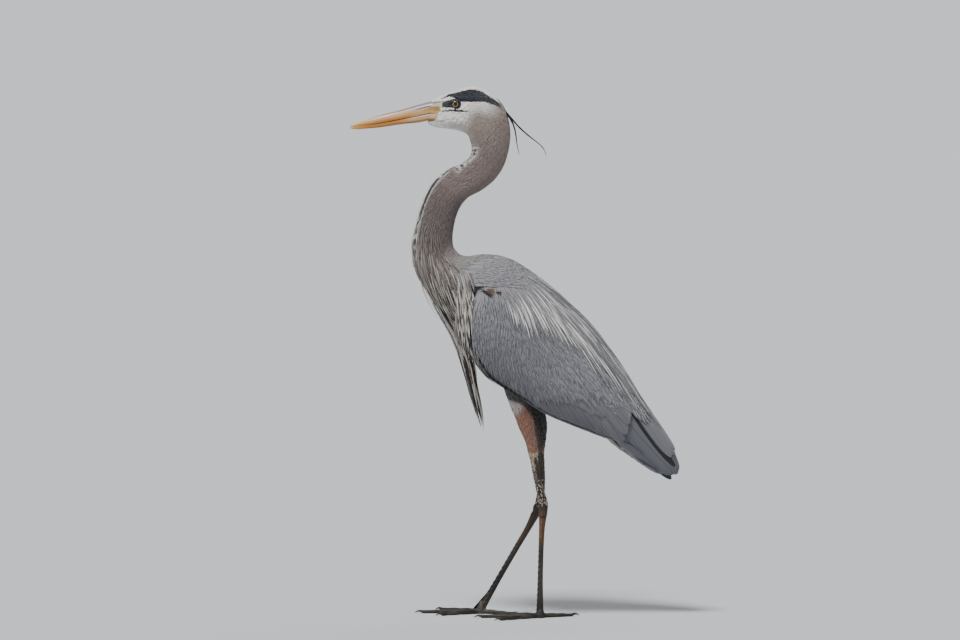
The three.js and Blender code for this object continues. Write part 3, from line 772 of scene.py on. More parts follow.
eye_finish, tree, shader = new_material("eye_glass", 0.08, {
    "Specular IOR Level": 0.3, "Coat Weight": 0.5, "Coat Roughness": 0.02})
apart = add_node(tree, "ShaderNodeSeparateXYZ", Vector=object_place(tree))
from_x = calculate(tree, "SUBTRACT", apart.outputs["X"], EYE_PLACE[0])
from_z = calculate(tree, "SUBTRACT", apart.outputs["Z"], EYE_PLACE[2])
flat_place = add_node(tree, "ShaderNodeCombineXYZ", X=from_x, Y=from_z)
reach = add_node(tree, "ShaderNodeVectorMath", {"operation": "LENGTH"},
                 i0=flat_place.outputs[0]).outputs["Value"]
ray_place = add_node(tree, "ShaderNodeCombineXYZ", X=calculate(tree, "ARCTAN2", from_z, from_x), Y=reach)
rays = noise(tree, ray_place.outputs[0], 14.0, 4.0)
spread = calculate(tree, "DIVIDE", reach, EYE_RADIUS)
ramp = add_node(tree, "ShaderNodeValToRGB", Fac=calculate(tree, "MULTIPLY_ADD", rays, 0.06, spread))
# share of the eyeball's radius, and the colour there
IRIS = ((0.0, "040404"), (0.325, "050505"), (0.355, "3f2f16"), (0.395, "967a44"), (0.44, "b99c64"),
        (0.485, "80602c"), (0.525, "261c0c"), (0.58, "0a0806"))
ramp.color_ramp.elements[0].color = (*linear(IRIS[0][1]), 1)
ramp.color_ramp.elements[1].position = IRIS[-1][0]
ramp.color_ramp.elements[1].color = (*linear(IRIS[-1][1]), 1)
for stop, code in IRIS[1:-1]:
    ramp.color_ramp.elements.new(stop).color = (*linear(code), 1)
# painted shade from the brow: the eye's colour darker towards its top
painted_brow_shade = carried(tree, from_z, 0.0002, 0.0046, 1.0, 0.30, "SMOOTHSTEP")
tree.links.new(scaled(tree, ramp.outputs["Color"], painted_brow_shade), shader.inputs["Base Color"])

SIDES = ((-1, "left"), (1, "right"))
for side, side_name in SIDES:
    eye = eye_ball(f"eyeball_{side_name}", side)
    smooth_shaded(eye)
    eye.data.materials.append(eye_finish)
    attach(eye, "root")
    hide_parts(f"eye_{side_name}")


# ---------------------------------------------------------------- bill
# Two horny sheaths that meet along the gape. The upper one has a slit nostril in a long groove and a
# rounded ridge; both have fine growth lines lengthwise, grey at the base and orange-yellow beyond.

UPPER_BILL = [
    (-268, 795.5, -268, 793.4, 0.8), (-252, 802, -252, 796, 3.2), (-220, 813.5, -220, 801, 6.2),
    (-187, 822, -187, 807.3, 8.4), (-155, 831.5, -155, 813.5, 10), (-134.6, 836.5, -139, 817, 10.6),
    (-130.5, 836.4, -130, 818.2, 12.3), (-127, 835.6, -121, 819.6, 14.5),
]
LOWER_BILL = [
    (-266, 793, -266, 791.4, 0.7), (-252, 795.5, -252, 791, 2.8), (-220, 800.5, -220, 793.7, 5.4),
    (-187, 806.8, -187, 798.5, 7.4), (-158, 812.7, -158, 801.5, 9.4), (-139.2, 816.5, -142.4, 804.5, 10.2),
    (-131, 817.6, -137, 804.2, 12.2), (-124.5, 818.8, -132.5, 804.2, 14.2),
]
BILL_TIP_X, BILL_LENGTH = -0.268, 0.134
HORN_YELLOW, HORN_ORANGE, HORN_PINK = linear("c8951e"), linear("be6a12"), linear("c2a084")
HORN_GREY, HORN_BROWN, HORN_DARK = linear("837f80"), linear("70523a"), linear("2b2018")


def horn_tones(points, along, height, upper):
    """Colours of the bill from its tip (0) to its base (1), and from its lower (0) to its upper edge
    (1): a yellow tip, an orange lower half, a pinkish middle and a grey-brown base and ridge."""
    colour = np.tile(HORN_YELLOW, (len(points), 1))
    lay = brush(colour)
    streak = 0.5 + 0.5 * np.sin(height * 46 + 5 * wobble(points * (0.12, 1, 1), 0.004, 3))
    if upper:
        lay(HORN_PINK, ease(along, 0.12, 0.34) * ease(height, 0.22, 0.5))
        low_half = band(along, 0.08, 0.72, 0.1) * (1 - ease(height, 0.16, 0.40))
        lay(HORN_ORANGE, low_half * (0.65 + 0.35 * streak))
        lay(HORN_BROWN, band(along, 0.62, 0.98, 0.08) * band(height, 0.26, 0.40, 0.05) * 0.55)
        lay(HORN_PINK, ease(along, 0.70, 0.84) * (1 - ease(height, 0.12, 0.24)))
        lay(HORN_GREY, ease(along, 0.56, 0.84) * ease(height, 0.60, 0.86))
        lay(HORN_BROWN, band(along, 0.30, 0.75, 0.12) * band(height, 0.80, 1.1, 0.05) * 0.45)
        lay(HORN_BROWN, ease(along, 0.80, 0.98) * band(height, 0.40, 0.56, 0.06) * 0.7)
        lay(HORN_BROWN * 0.6, band(height, 0.72, 0.80, 0.02) * band(along, 0.86, 1.03, 0.03) * 0.8)
        lay(HORN_DARK, band(height, 0.54, 0.64, 0.03) * band(along, 0.80, 0.975, 0.02) * 0.85)
        lay(HORN_YELLOW * 0.75, ease(along, 0.99, 1.04) * band(height, 0.10, 0.34, 0.06) * 0.8)
        lay(HORN_DARK, (1 - ease(height, 0.005, 0.035)) * ease(along, 0.08, 0.25) * 0.8)
    else:
        lay(HORN_ORANGE, band(along, 0.10, 0.80, 0.12) * (0.45 + 0.4 * streak))
        lay(HORN_PINK * 1.1, ease(along, 0.55, 0.80) * ease(height, 0.30, 0.5) * 0.8)
        lay(HORN_BROWN, band(along, 0.25, 1.2, 0.1) * (1 - ease(height, 0.16, 0.46)) * 0.75)
        lay(HORN_BROWN, band(height, 0.50, 0.62, 0.04) * band(along, 0.3, 0.95, 0.05) * 0.5)
        lay(HORN_DARK, ease(height, 0.93, 0.99) * ease(along, 0.08, 0.25) * 0.8)
    return colour * (0.93 + 0.10 * streak)[:, None]


def bill_piece(name, stations, roundness, upper):
    """One sheath: the loft from tip to base, with growth lines as tiny ripples round it and, on the
    upper one, the nostril's slit pressed in at each side."""
    surface = on_loft(stations, roundness)
    rings, around = 220, 72
    places, turns = np.linspace(0, len(stations) - 1, rings), np.arange(around) * 2 * np.pi / around
    place, turn = np.meshgrid(places, turns, indexing="ij")
    base = surface(place, turn)
    along = (base[..., 0] - BILL_TIP_X) / BILL_LENGTH
    rows = smooth_line(np.array(stations) / 1000, place)
    height = (base[..., 2] - rows[..., 3]) / np.maximum(rows[..., 1] - rows[..., 3], 1e-4)
    ripple = 0.00006 * np.sin(turn * 24 + 3 * np.sin(along * 5)) * ease(along, 0.05, 0.3)
    sunk = np.zeros_like(along)
    if upper:
        slit = band(along, 0.81, 0.965, 0.018) * np.exp(-((height - 0.60) / 0.045) ** 2)
        groove = band(along, 0.50, 0.97, 0.08) * np.exp(-((height - 0.60) / 0.10) ** 2)
        sunk = -0.0013 * slit - 0.0004 * groove
    ring = surface(place, turn, ripple + sunk)
    points = with_poles(ring)
    piece = join_shells(name, [(points, *tube_faces(rings, around))])
    end_rows = lambda grid: np.concatenate([grid.ravel(), [grid[0].mean(), grid[-1].mean()]])
    add_colour(piece, "horn", horn_tones(points, end_rows(along), end_rows(height), upper))
    smooth_shaded(piece)
    return piece


horn_finish, tree, shader = new_material("bill_horn", 0.36, {"Coat Weight": 0.25, "Coat Roughness": 0.25})
drawn_out = add_node(tree, "ShaderNodeMapping", Vector=object_place(tree), Rotation=(0, math.radians(17), 0),
                     Scale=(40, 900, 900))
fibre = noise(tree, drawn_out.outputs[0], 1.0, 3.0)
fibre_shade = carried(tree, fibre, 0.3, 0.7, 0.86, 1.1)
surface_looks(tree, shader, scaled(tree, attribute(tree, "horn"), fibre_shade), fibre, 0.35, 0.0002)
for name, stations, roundness, upper in (("bill_upper_horn", UPPER_BILL, (1.8, 9), True),
                                         ("bill_lower_horn", LOWER_BILL, (9, 2), False)):
    sheath = bill_piece(name, stations, roundness, upper)
    sheath.data.materials.append(horn_finish)
    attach(sheath, "root")
    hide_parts("bill_upper" if upper else "bill_lower")


# ---------------------------------------------------------------- feathers of head and neck
# Short soft feathers that all lie backwards and down the neck, tiny on the face and longer below.
# Each is a thin closed vane, rooted in the skin, whose tip lies over the roots of the next ones.

def surface_frame(surface, u, v):
    """The point at (u, v), the surface's slopes along u and v, and its outward direction."""
    step, still = 1e-3, np.zeros_like(u)
    base = surface(u, v, still)
    along_u = (surface(u + step, v, still) - surface(u - step, v, still)) / (2 * step)
    along_v = (surface(u, v + step, still) - surface(u, v - step, still)) / (2 * step)
    normal = np.cross(along_u, along_v)
    normal /= np.maximum(np.linalg.norm(normal, axis=-1, keepdims=True), 1e-12)
    outward = surface(u, v, np.full_like(u, 1e-4)) - base
    normal *= np.sign((normal * outward).sum(-1, keepdims=True))
    return base, along_u, along_v, normal


def steps_for(along_u, along_v, move):
    """How far u and v change for a move over the surface: the two-by-two least-squares solution."""
    a, b, c = (along_u ** 2).sum(-1), (along_u * along_v).sum(-1), (along_v ** 2).sum(-1)
    p, q = (move * along_u).sum(-1), (move * along_v).sum(-1)
    room = np.maximum(a * c - b * b, 1e-16)
    return (c * p - b * q) / room, (a * q - b * p) / room


def unit(vectors):
    """Each vector made one long."""
    return vectors / np.maximum(np.linalg.norm(vectors, axis=-1, keepdims=True), 1e-12)


# where along a vane its cross lines stand, its half width there, and its points across
TINY = ((0.28, 0.62, 0.88), (0.65, 1.0, 0.62), (-1, 0, 1))
SOFT = ((0.12, 0.4, 0.7, 0.92), (0.5, 0.95, 1.0, 0.5), (-1, 0, 1))
LOCK = ((0.1, 0.35, 0.65, 0.88), (0.5, 0.95, 0.85, 0.4), (-1, 0, 1))
HACKLE = ((0.1, 0.35, 0.6, 0.82, 0.94), (0.5, 0.95, 1.0, 0.7, 0.36), (-1, 0, 1))
LANCE = ((0.05, 0.2, 0.4, 0.6, 0.78, 0.92), (0.45, 0.85, 1.0, 0.78, 0.5, 0.24), (-1, 0, 1))
QUILL = ((0.04, 0.15, 0.32, 0.5, 0.66, 0.79, 0.88, 0.945, 0.985),
         (0.5, 0.8, 0.95, 1.0, 1.0, 0.95, 0.82, 0.6, 0.32), (-1, -0.66, -0.33, -0.06, 0.06, 0.33, 0.66, 1))
# a colour of a vane's own that has set in before its root, so it covers the whole vane
WHOLE_VANE = (-1, 0)


def lay_vanes(name, surface, u, v, flow, length, width, shape, rise, tones, patch=None, bow=0.12, bend=0.0,
              thickness=0.00025, vary=0.16, own=None, seed=1):
    """Vanes laid over a surface. Each centre line starts at its root (u, v) and takes steps over the
    surface in the flow's direction; cross lines leave it at right angles by the half width there.
    rise is the vane's height over the surface at root and tip, bow lowers its edges, bend turns it.
    own gives each vane a colour of its own, how much of it, and where along the vane it sets in.
    patch gives the roots' places on the map for colours; a short row of vanes needs none."""
    stops, halves, columns = shape
    count, rings, around = len(u), len(stops), len(columns) + 1
    rng = np.random.default_rng(seed)
    tint = rng.uniform(0, 1, count)
    bend = np.broadcast_to(bend, count)
    length, width = np.broadcast_to(length, count), np.broadcast_to(width, count)
    low, high = np.broadcast_to(rise[0], count), np.broadcast_to(rise[1], count)
    along = np.concatenate([[0.0], stops, [1.0]])
    columns = np.array(columns, float)
    grid = np.zeros((count, rings * around + 2, 3))
    centres = np.zeros((count, rings + 2, 3))
    vane = np.zeros((count, rings * around + 2, 3))
    place_u, place_v = np.array(u, float), np.array(v, float)
    for k, s in enumerate(along):
        base, along_u, along_v, normal = surface_frame(surface, place_u, place_v)
        ahead = flow(base, unit(along_u))
        ahead = unit(ahead - normal * (ahead * normal).sum(-1, keepdims=True))
        side = np.cross(normal, ahead)
        ahead = ahead + side * (bend * (s - 0.3))[:, None]
        ahead, side = unit(ahead), unit(np.cross(normal, ahead))
        lift = high + (low - high) * (1 - s) ** 2.5
        centre = surface(place_u, place_v, lift)
        centres[:, k] = centre
        if 0 < k <= rings:
            reach = halves[k - 1] * width / 2
            for j, t in enumerate(columns):
                du, dv = steps_for(along_u, along_v, side * (t * reach)[:, None])
                down = lift - bow * reach * t * t
                grid[:, (k - 1) * around + j] = surface(place_u + du, place_v + dv, down)
                vane[:, (k - 1) * around + j] = np.stack([np.full(count, t), s * length, tint], -1)
            grid[:, k * around - 1] = surface(place_u, place_v, lift - thickness - bow * reach * 0.5)
            vane[:, k * around - 1] = np.stack([np.zeros(count), s * length, tint], -1)
        else:
            pole = rings * around + (k > 0)
            grid[:, pole] = centre
            vane[:, pole] = np.stack([np.zeros(count), s * length, tint], -1)
        if k < len(along) - 1:
            move = ahead * ((along[k + 1] - s) * length)[:, None]
            du, dv = steps_for(along_u, along_v, move)
            place_u, place_v = place_u + du, place_v + dv
    ring_of = np.concatenate([np.repeat(np.arange(1, rings + 1), around), [0, rings + 1]])
    colours = tones(centres.reshape(-1, 3)).reshape(count, rings + 2, 3)
    if own is not None:
        own_tone, share, span = own
        share = np.broadcast_to(share, count)[:, None, None] * ease(along, *span)[None, :, None]
        colours = colours + share * (np.broadcast_to(own_tone, (count, 3))[:, None, :] - colours)
    colours = colours * (1 + vary * (tint - 0.5))[:, None, None]
    quads, triangles = tube_faces(rings, around)
    first = (np.arange(count) * (rings * around + 2))[:, None, None]
    if volume_of(grid[0], quads, triangles) < 0:
        quads, triangles = quads[:, ::-1], triangles[:, ::-1]
    all_quads, all_triangles = (quads + first).reshape(-1, 4), (triangles + first).reshape(-1, 3)
    piece = build_mesh(name, grid.reshape(-1, 3), all_quads, all_triangles)
    add_colour(piece, "plumage", colours[:, ring_of].reshape(-1, 3))
    layer = piece.data.attributes.new("vane", "FLOAT_VECTOR", "POINT")
    layer.data.foreach_set("vector", vane.reshape(-1, 3).astype(np.float32).ravel())
    under = lambda faces: ((faces % around == around - 1) & (faces < rings * around)).any(-1)
    flat = np.concatenate([np.tile(under(quads), count), np.tile(under(triangles), count)])
    piece.data.polygons.foreach_set("use_smooth", ~flat)
    map_patches(piece, patch, u, v, vane, length)
    return piece


SHORT_ROW = 60


def map_patches(piece, patch, u, v, vane, length):
    """The map for colours: each vane is a small patch at its root's place on the unwrapped skin,
    spread over the whole map. The few feathers of a short row stand in even cells, in their order."""
    count = len(u)
    if count < SHORT_ROW:
        side = math.ceil(math.sqrt(count))
        size, order = 0.6 / side, np.arange(count)
        spread = [(order % side + 0.5) / side, (order // side + 0.5) / math.ceil(count / side)]
    else:
        size = 0.003
        spread = [0.01 + 0.98 * (part - part.min()) / max(np.ptp(part), 1e-6) for part in patch(u, v)]
    along = vane[..., 1] / np.maximum(length, 1e-6)[:, None]
    spots = np.stack([spread[0][:, None] + size * (along - 0.5),
                      spread[1][:, None] + size / 2 * vane[..., 0]], -1)
    spots = np.clip(spots, 0.002, 0.998).reshape(-1, 2).astype(np.float32)
    corner_of = np.zeros(len(piece.data.loops), np.int32)
    piece.data.loops.foreach_get("vertex_index", corner_of)
    layer = piece.data.uv_layers.new(name="OFBake")
    layer.data.foreach_set("uv", spots[corner_of].ravel())


def even_roots(surface, first, last, row_gap, gap, seed, turns=(-math.pi, math.pi)):
    """Roots in rows round a tube: rows a row_gap apart along its side, roots a gap apart round each
    row by arc length, each row turned by a random part of the gap and each root moved a little."""
    rng = np.random.default_rng(seed)
    fine = np.linspace(first, last, 400)
    side = surface(fine, np.full(400, -math.pi / 2), np.zeros(400))
    run = np.concatenate([[0], np.cumsum(np.linalg.norm(np.diff(side, axis=0), axis=-1))])
    rows = np.interp(np.arange(row_gap / 2, run[-1], row_gap), run, fine)
    row_step = (last - first) / max(len(rows), 1)
    sweep = np.linspace(*turns, 361)
    stations, placed = [], []
    for row in rows:
        ring = surface(np.full(361, row), sweep, np.zeros(361))
        arc = np.concatenate([[0], np.cumsum(np.linalg.norm(np.diff(ring, axis=0), axis=-1))])
        n = max(3, int(round(arc[-1] / gap)))
        spots = (np.arange(n) + rng.uniform(0, 1) + rng.uniform(-0.22, 0.22, n)) / n % 1 * arc[-1]
        placed.append(np.interp(spots, arc, sweep))
        stations.append(row + row_step * rng.uniform(-0.3, 0.3, n))
    return np.concatenate(stations), np.concatenate(placed)


def backwards(points, along):
    """The lie of feathers that follow the surface from head to tail."""
    return along


def on_map(part):
    """A part from 0 to 1 as a place across the map for colours, a hundredth inside its edges."""
    return 0.01 + 0.98 * np.clip(part, 0, 1)


def loft_patch(first, last):
    """Places on the unwrap of a loft between two stations: station across, turn up."""
    def spots(u, v):
        turn = np.angle(np.exp(1j * v)) / (2 * math.pi) + 0.5
        return on_map((u - first) / (last - first)), on_map(turn)
    return spots


barbs = bpy.data.node_groups.new("barbs", "ShaderNodeTree")
for in_out, socket, kind in (
        ("INPUT", "Plumage", "Color"), ("INPUT", "Vane", "Vector"), ("INPUT", "Streaks", "Float"),
        ("INPUT", "Fringe", "Float"), ("INPUT", "Shaft", "Float"),
        ("OUTPUT", "Colour", "Color"), ("OUTPUT", "Height", "Float")):
    barbs.interface.new_socket(name=socket, in_out=in_out, socket_type="NodeSocket" + kind)
inside = barbs.nodes.new("NodeGroupInput").outputs
result = barbs.nodes.new("NodeGroupOutput").inputs
parts = add_node(barbs, "ShaderNodeSeparateXYZ", Vector=inside["Vane"])
width_part = calculate(barbs, "ABSOLUTE", parts.outputs["X"])
slant = calculate(barbs, "MULTIPLY_ADD", width_part, -0.004, parts.outputs["Y"])
barb_place = add_node(barbs, "ShaderNodeCombineXYZ", X=slant, Y=parts.outputs["Z"])
barb_scale = add_node(barbs, "ShaderNodeMapping", Vector=barb_place.outputs[0], Scale=(1500, 300, 1))
strands = noise(barbs, barb_scale.outputs[0], 1.0, 2.0, "2D")
strand_shade = calculate(barbs, "SUBTRACT", strands, 0.5)
strand_part = calculate(barbs, "MULTIPLY_ADD", strand_shade, inside["Streaks"], 1.0)
rim = carried(barbs, width_part, 0.72, 1.0, 0.0, 1.0, "SMOOTHSTEP")
rim_part = calculate(barbs, "MULTIPLY_ADD", rim, inside["Fringe"], strand_part)
quill_line = carried(barbs, width_part, 0.02, 0.10, 1.0, 0.0, "SMOOTHSTEP")
whole = calculate(barbs, "MULTIPLY_ADD", quill_line, inside["Shaft"], rim_part)
barbs.links.new(scaled(barbs, inside["Plumage"], whole), result["Colour"])
barbs.links.new(calculate(barbs, "ADD", strands, quill_line), result["Height"])


def feather_finish(name, roughness, streaks, fringe, shaft, sheen):
    """A finish for feathers: the plumage colour with barbs, a fringe and a shaft drawn by the group."""
    finish, tree, shader = new_material(name, roughness, {
        "Sheen Weight": sheen, "Sheen Roughness": 0.5, "Specular IOR Level": 0.3})
    drawn = add_node(tree, "ShaderNodeGroup", {"node_tree": barbs}, Plumage=attribute(tree, "plumage"),
                     Vane=attribute(tree, "vane", "Vector"), Streaks=streaks, Fringe=fringe, Shaft=shaft)
    surface_looks(tree, shader, drawn.outputs["Colour"], drawn.outputs["Height"], 0.3, 0.0002)
    return finish


def coat(material, slot_name, *vanes, **how):
    """A coat piece, which rides with the bird: its vanes laid and its finish given. slot_name is not used."""
    piece = lay_vanes(*vanes, **how)
    piece.data.materials.append(material)
    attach(piece, "root")
    return piece


soft_finish = feather_finish("soft_feathers", 0.8, 0.35, 0.10, -0.06, 0.25)

u, v = even_roots(body_form, 0.03, 5.35, 0.0030, 0.0019, 11)
spot = body_form(u, v)
x, y, z = spot.T
eye_gap = np.hypot((x - EYE_PLACE[0]) / 1.08, z - EYE_PLACE[2])
on_lore = (x < -0.102) & (np.abs(z - 0.8335 - 0.12 * (x + 0.11)) < 0.0042) & (np.abs(y) > 0.006)
lid_corner = (eye_gap < 0.014) & (x < EYE_PLACE[0] - 0.004) & (np.abs(z - EYE_PLACE[2]) < 0.006)
keep = (eye_gap > 0.0084) & ~on_lore & (gape(spot, 0.0005) < 0.5) & ~lid_corner
u, v = u[keep], v[keep]
rng = np.random.default_rng(12)
size = 0.0062 + 0.0045 * ease(u, 1.5, 5.0)
coat(soft_finish, "plumage_white", "head_feathers", body_form, u, v, backwards,
     size * rng.uniform(0.85, 1.2, len(u)), 0.0026 + 0.0006 * ease(u, 2, 5), TINY,
     (-0.0009, 0.0001 + 0.0003 * rng.uniform(0, 1, len(u))), plumage, loft_patch(0, 5.4),
     bend=rng.normal(0, 0.12, len(u)), seed=13)


def tip_points(surface, u, v, flow, length):
    """Each feather's tip: one step of its length over the surface from its root."""
    base, along_u, along_v, _ = surface_frame(surface, u, v)
    du, dv = steps_for(along_u, along_v, flow(base, unit(along_u)) * length[:, None])
    return surface(u + du, v + dv, np.zeros_like(u))


for name, first, last, row_gap, gap, long, wide, seed in (
        ("neck_feathers_upper", 5.2, 10.6, 0.0043, 0.0021, 0.0175, 0.0029, 21),
        ("neck_feathers_lower", 10.4, 16.2, 0.0048, 0.0023, 0.0205, 0.0032, 22)):
    u, v = even_roots(body_form, first, last, row_gap, gap, seed)
    rng = np.random.default_rng(seed + 50)
    reach = long * rng.uniform(0.85, 1.2, len(u))
    in_front = 1 - ease(place_on_body(body_form(u, v))[1], 1.3, 1.6)
    tip_tones = plumage(tip_points(body_form, u, v, backwards, reach * 0.85))
    coat(soft_finish, "plumage_neck", name, body_form, u, v, backwards, reach, wide, LOCK,
         (-0.0019, 0.0001 + 0.0002 * rng.uniform(0, 1, len(u))), plumage, loft_patch(first - 0.1, last + 0.1),
         bow=0.06, bend=rng.normal(0, 0.04, len(u)), thickness=0.00010, vary=0.08,
         own=(tip_tones, in_front, (0, 0.4)), seed=seed)


# ---------------------------------------------------------------- feathers of breast, belly and vent
# Body feathers over the shoulders and belly, longer than the neck's, and narrow pointed plumes that
# hang from the lower neck. The folded wings cover the flanks, so none stand there.

wing_front_z = np.array([436, 490, 529, 543, 566]) / 1000
wing_front_x = np.array([-70, -74, -66, -52, -40]) / 1000


def under_wing(points, margin):
    """True where the folded wing covers the flank by more than the margin."""
    x, y, z = points.T
    behind = x > np.interp(z, wing_front_z, wing_front_x) + margin
    return behind & (z > wing_low(x) + margin) & (z < 0.60) & (np.abs(y) > 0.02)


u, v = even_roots(body_form, 15.7, 22.3, 0.0064, 0.0042, 31)
keep = ~under_wing(body_form(u, v), 0.016)
u, v = u[keep], v[keep]
grown = ease(u, 17, 20)
rng = np.random.default_rng(32)
coat(soft_finish, "plumage_grey", "body_feathers", body_form, u, v, backwards,
     (0.025 + 0.012 * grown) * rng.uniform(0.8, 1.25, len(u)), 0.0052 + 0.002 * grown, HACKLE,
     (-0.0050, 0.0003 * rng.uniform(0, 1, len(u))), plumage, loft_patch(15.6, 23),
     bow=0.08, bend=rng.normal(0, 0.08, len(u)), vary=0.12, seed=33)


def hanging(points, along):
    """The lie of the breast's plumes: down and a little backwards, more so low on the breast and
    where they come off the shoulder, and straight down along the wing's front edge."""
    x, z = points[:, 0], points[:, 2]
    lean = np.interp(z, [0.44, 0.50, 0.535, 0.575, 0.62], [0.42, 0.52, 0.44, 0.20, 0.05])
    lean = lean * np.interp(x, [-0.105, -0.080], [1.0, 0.30])
    lean = lean + 0.55 * np.exp(-((x + 0.092) / 0.022) ** 2) * ease(z, 0.545, 0.57)
    return unit(np.stack([lean, np.zeros(len(points)), -np.ones(len(points))], -1))


def streak_tones(height, dark_part, pale_part, seed):
    """A tone for each plume: dark, middle or pale, closer to the neck's mauve high on the breast and
    near black and white low on it."""
    choice = np.random.default_rng(seed).uniform(0, 1, len(height))
    low = 1 - ease(height, 0.505, 0.575)
    dark = blend(linear("5c524e"), linear("1f1d1d"), low)
    pale = blend(linear("928882"), linear("cdc6bb"), low)
    pale_or_middle = np.where((choice > 1 - pale_part)[:, None], pale, linear("776d69"))
    return np.where((choice < dark_part)[:, None], dark, pale_or_middle)


plume_finish = feather_finish("plumes", 0.7, 0.25, -0.25, 0.2, 0.15)
u, v = even_roots(body_form, 13.3, 18.5, 0.0068, 0.0032, 35)
spot = body_form(u, v)
_, fore = place_on_body(spot)
rng = np.random.default_rng(36)
front_limit = 2.15 - 0.72 * ease(u, 15.0, 16.6)
keep = (fore < front_limit - 0.25 * rng.uniform(0, 1, len(u))) & ~under_wing(spot, 0.003)
u, v, spot = u[keep], v[keep], spot[keep]
long = (0.030 + 0.030 * ease(u, 13.5, 16.5)) * rng.uniform(0.7, 1.25, len(u))
over_edge = 0.010 * np.exp(-((spot[:, 0] + 0.080) / 0.014) ** 2) * ease(spot[:, 2], 0.46, 0.50)
own_tone = streak_tones(spot[:, 2] - long / 2, 0.28, 0.52, 37)
coat(plume_finish, "plumage_neck", "breast_feathers", body_form, u, v, hanging, long,
     0.0026 * rng.uniform(0.75, 1.25, len(u)), LANCE,
     (-0.0022, 0.0008 + 0.0014 * rng.uniform(0, 1, len(u)) + over_edge), plumage, loft_patch(13.2, 18.6),
     bend=rng.normal(0, 0.05, len(u)), vary=0.5, seed=38,
     own=(own_tone, 0.9 * ease(u, 13.2, 14.6) * (1 - ease(u, 18.1, 18.7)), (-0.3, 0.25)))

BREAST_PLUMES = [
    (-122, 540, -148, 548, 12), (-108, 500, -133, 503, 20), (-78, 450, -107, 456, 19),
    (-66, 412, -91, 415, 15), (-61, 376, -80, 380, 10), (-55, 342, -70, 345, 6), (-50, 304, -57, 305, 2.5),
]
plume_form = on_loft(BREAST_PLUMES, (2, 2))
rng = np.random.default_rng(41)
count = 230
u = rng.uniform(0.1, 4.3, count)
v = rng.uniform(-math.pi, math.pi, count)
reach_down = np.interp(u, [0, 2, 4.4], [0.125, 0.105, 0.07]) * rng.uniform(0.55, 1.05, count)
own_tone = streak_tones(np.full(count, 0.45), 0.36, 0.50, 43)
loose_plumes = coat(plume_finish, "plumage_plumes", "breast_plume_vanes", plume_form, u, v, backwards,
                    reach_down, 0.0034 * rng.uniform(0.7, 1.2, count), LANCE,
                    (-0.004 * rng.uniform(0.2, 1, count), 0.001 * rng.uniform(-2, 1, count)), plumage,
                    loft_patch(0, 4.5), bend=rng.normal(0, 0.10, count),
                    own=(own_tone, 0.85, WHOLE_VANE), seed=42)
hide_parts("breast_plumes")

# a few single strands in front of the bundle
rng = np.random.default_rng(44)
count = 16
u = rng.uniform(15.6, 17.0, count)
v = math.pi + rng.uniform(-0.7, 0.7, count)
own_tone = streak_tones(np.full(count, 0.45), 0.3, 0.5, 45)
coat(plume_finish, "plumage_plumes", "stray_breast_plumes", body_form, u, v, hanging,
     rng.uniform(0.05, 0.085, count), 0.0016 * rng.uniform(0.8, 1.2, count), LANCE,
     (-0.002, rng.uniform(0.004, 0.013, count)), plumage, bend=rng.normal(0, 0.12, count),
     own=(own_tone, 0.85, WHOLE_VANE), seed=46)


# ---------------------------------------------------------------- feathers of the folded wings
# Rows of coverts that fan out from the shoulder, then the long secondaries below them, and at the
# rear the broad tertials over black primaries. Every row's tips lie over the roots of the next. Small
# tufts stand at the bend of the wing, and strands of the breast and a rim of feathers at its edges.

def find_on_wing(x, z, side):
    """Station and turn of the wing's surface seen at (x, z) from one side: the station by halving,
    until the line from the front to the back outline passes through the point; the turn from the
    point's share of that line. The last result tells which points lie on the wing at all."""
    rows = np.array(FOLDED_WINGS) / 1000
    low, high = np.zeros_like(x), np.full_like(x, len(rows) - 1.0)
    for _ in range(22):
        middle = (low + high) / 2
        line = smooth_line(rows, middle)
        turned = (line[:, 0] - line[:, 2]) * (z - line[:, 3]) - (line[:, 1] - line[:, 3]) * (x - line[:, 2])
        low, high = np.where(turned < 0, middle, low), np.where(turned < 0, high, middle)
    line = smooth_line(rows, low)
    centre, reach = (line[:, 0:2] + line[:, 2:4]) / 2, (line[:, 0:2] - line[:, 2:4]) / 2
    share = ((np.stack([x, z], -1) - centre) * reach).sum(-1) / (reach ** 2).sum(-1)
    deep = np.sign(share) * np.abs(share) ** np.where(share < 0, 1.5, 1.0)
    turn = side * np.arccos(np.clip(deep, -0.998, 0.998))
    return low, turn, (np.abs(share) < 0.995) & (low > 0.01) & (low < len(rows) - 1.01)


def fanning(points, along):
    """The lie of the wing's feathers: straight away from the shoulder point, in side view."""
    apart = points - SHOULDER_POINT
    apart[:, 1] = 0
    return unit(apart)


def wing_tones(points):
    """The colours of the folded wing, with painted shade along its lower edge."""
    return plumage(points, "wing")


def wing_patch(u, v):
    """Places on the unwrap of one folded wing: station across, and the turn of its side up."""
    turn = np.abs(np.angle(np.exp(1j * v))) / math.pi
    return on_map(u / WING_STATIONS), on_map(turn)


COVERT_LENGTH, COVERT_LENGTH_GAIN = 0.034, 0.014


def growth(away):
    """How far the coverts have grown, from 0 near the shoulder point to 1 far from it."""
    return ease(away, 0.13, 0.36)


def covert_roots(seed):
    """Roots of the coverts as arcs round the shoulder point, closer together near it."""
    rng = np.random.default_rng(seed)
    xs, zs, away = [], [], 0.098
    while away < 0.43:
        grown = float(growth(away))
        gap = (0.0029 + 0.0012 * grown) / away
        turns = np.radians(-9) + gap * (np.arange(int(1.05 / gap)) + rng.uniform(0, 1))
        turns = turns + rng.uniform(-0.2, 0.2, len(turns)) * gap
        reach = away + rng.uniform(-0.3, 0.3, len(turns)) * 0.005
        xs.append(SHOULDER_POINT[0] + reach * np.sin(turns))
        zs.append(SHOULDER_POINT[2] - reach * np.cos(turns))
        away += 0.0047 + 0.0024 * grown
    return np.concatenate(xs), np.concatenate(zs)


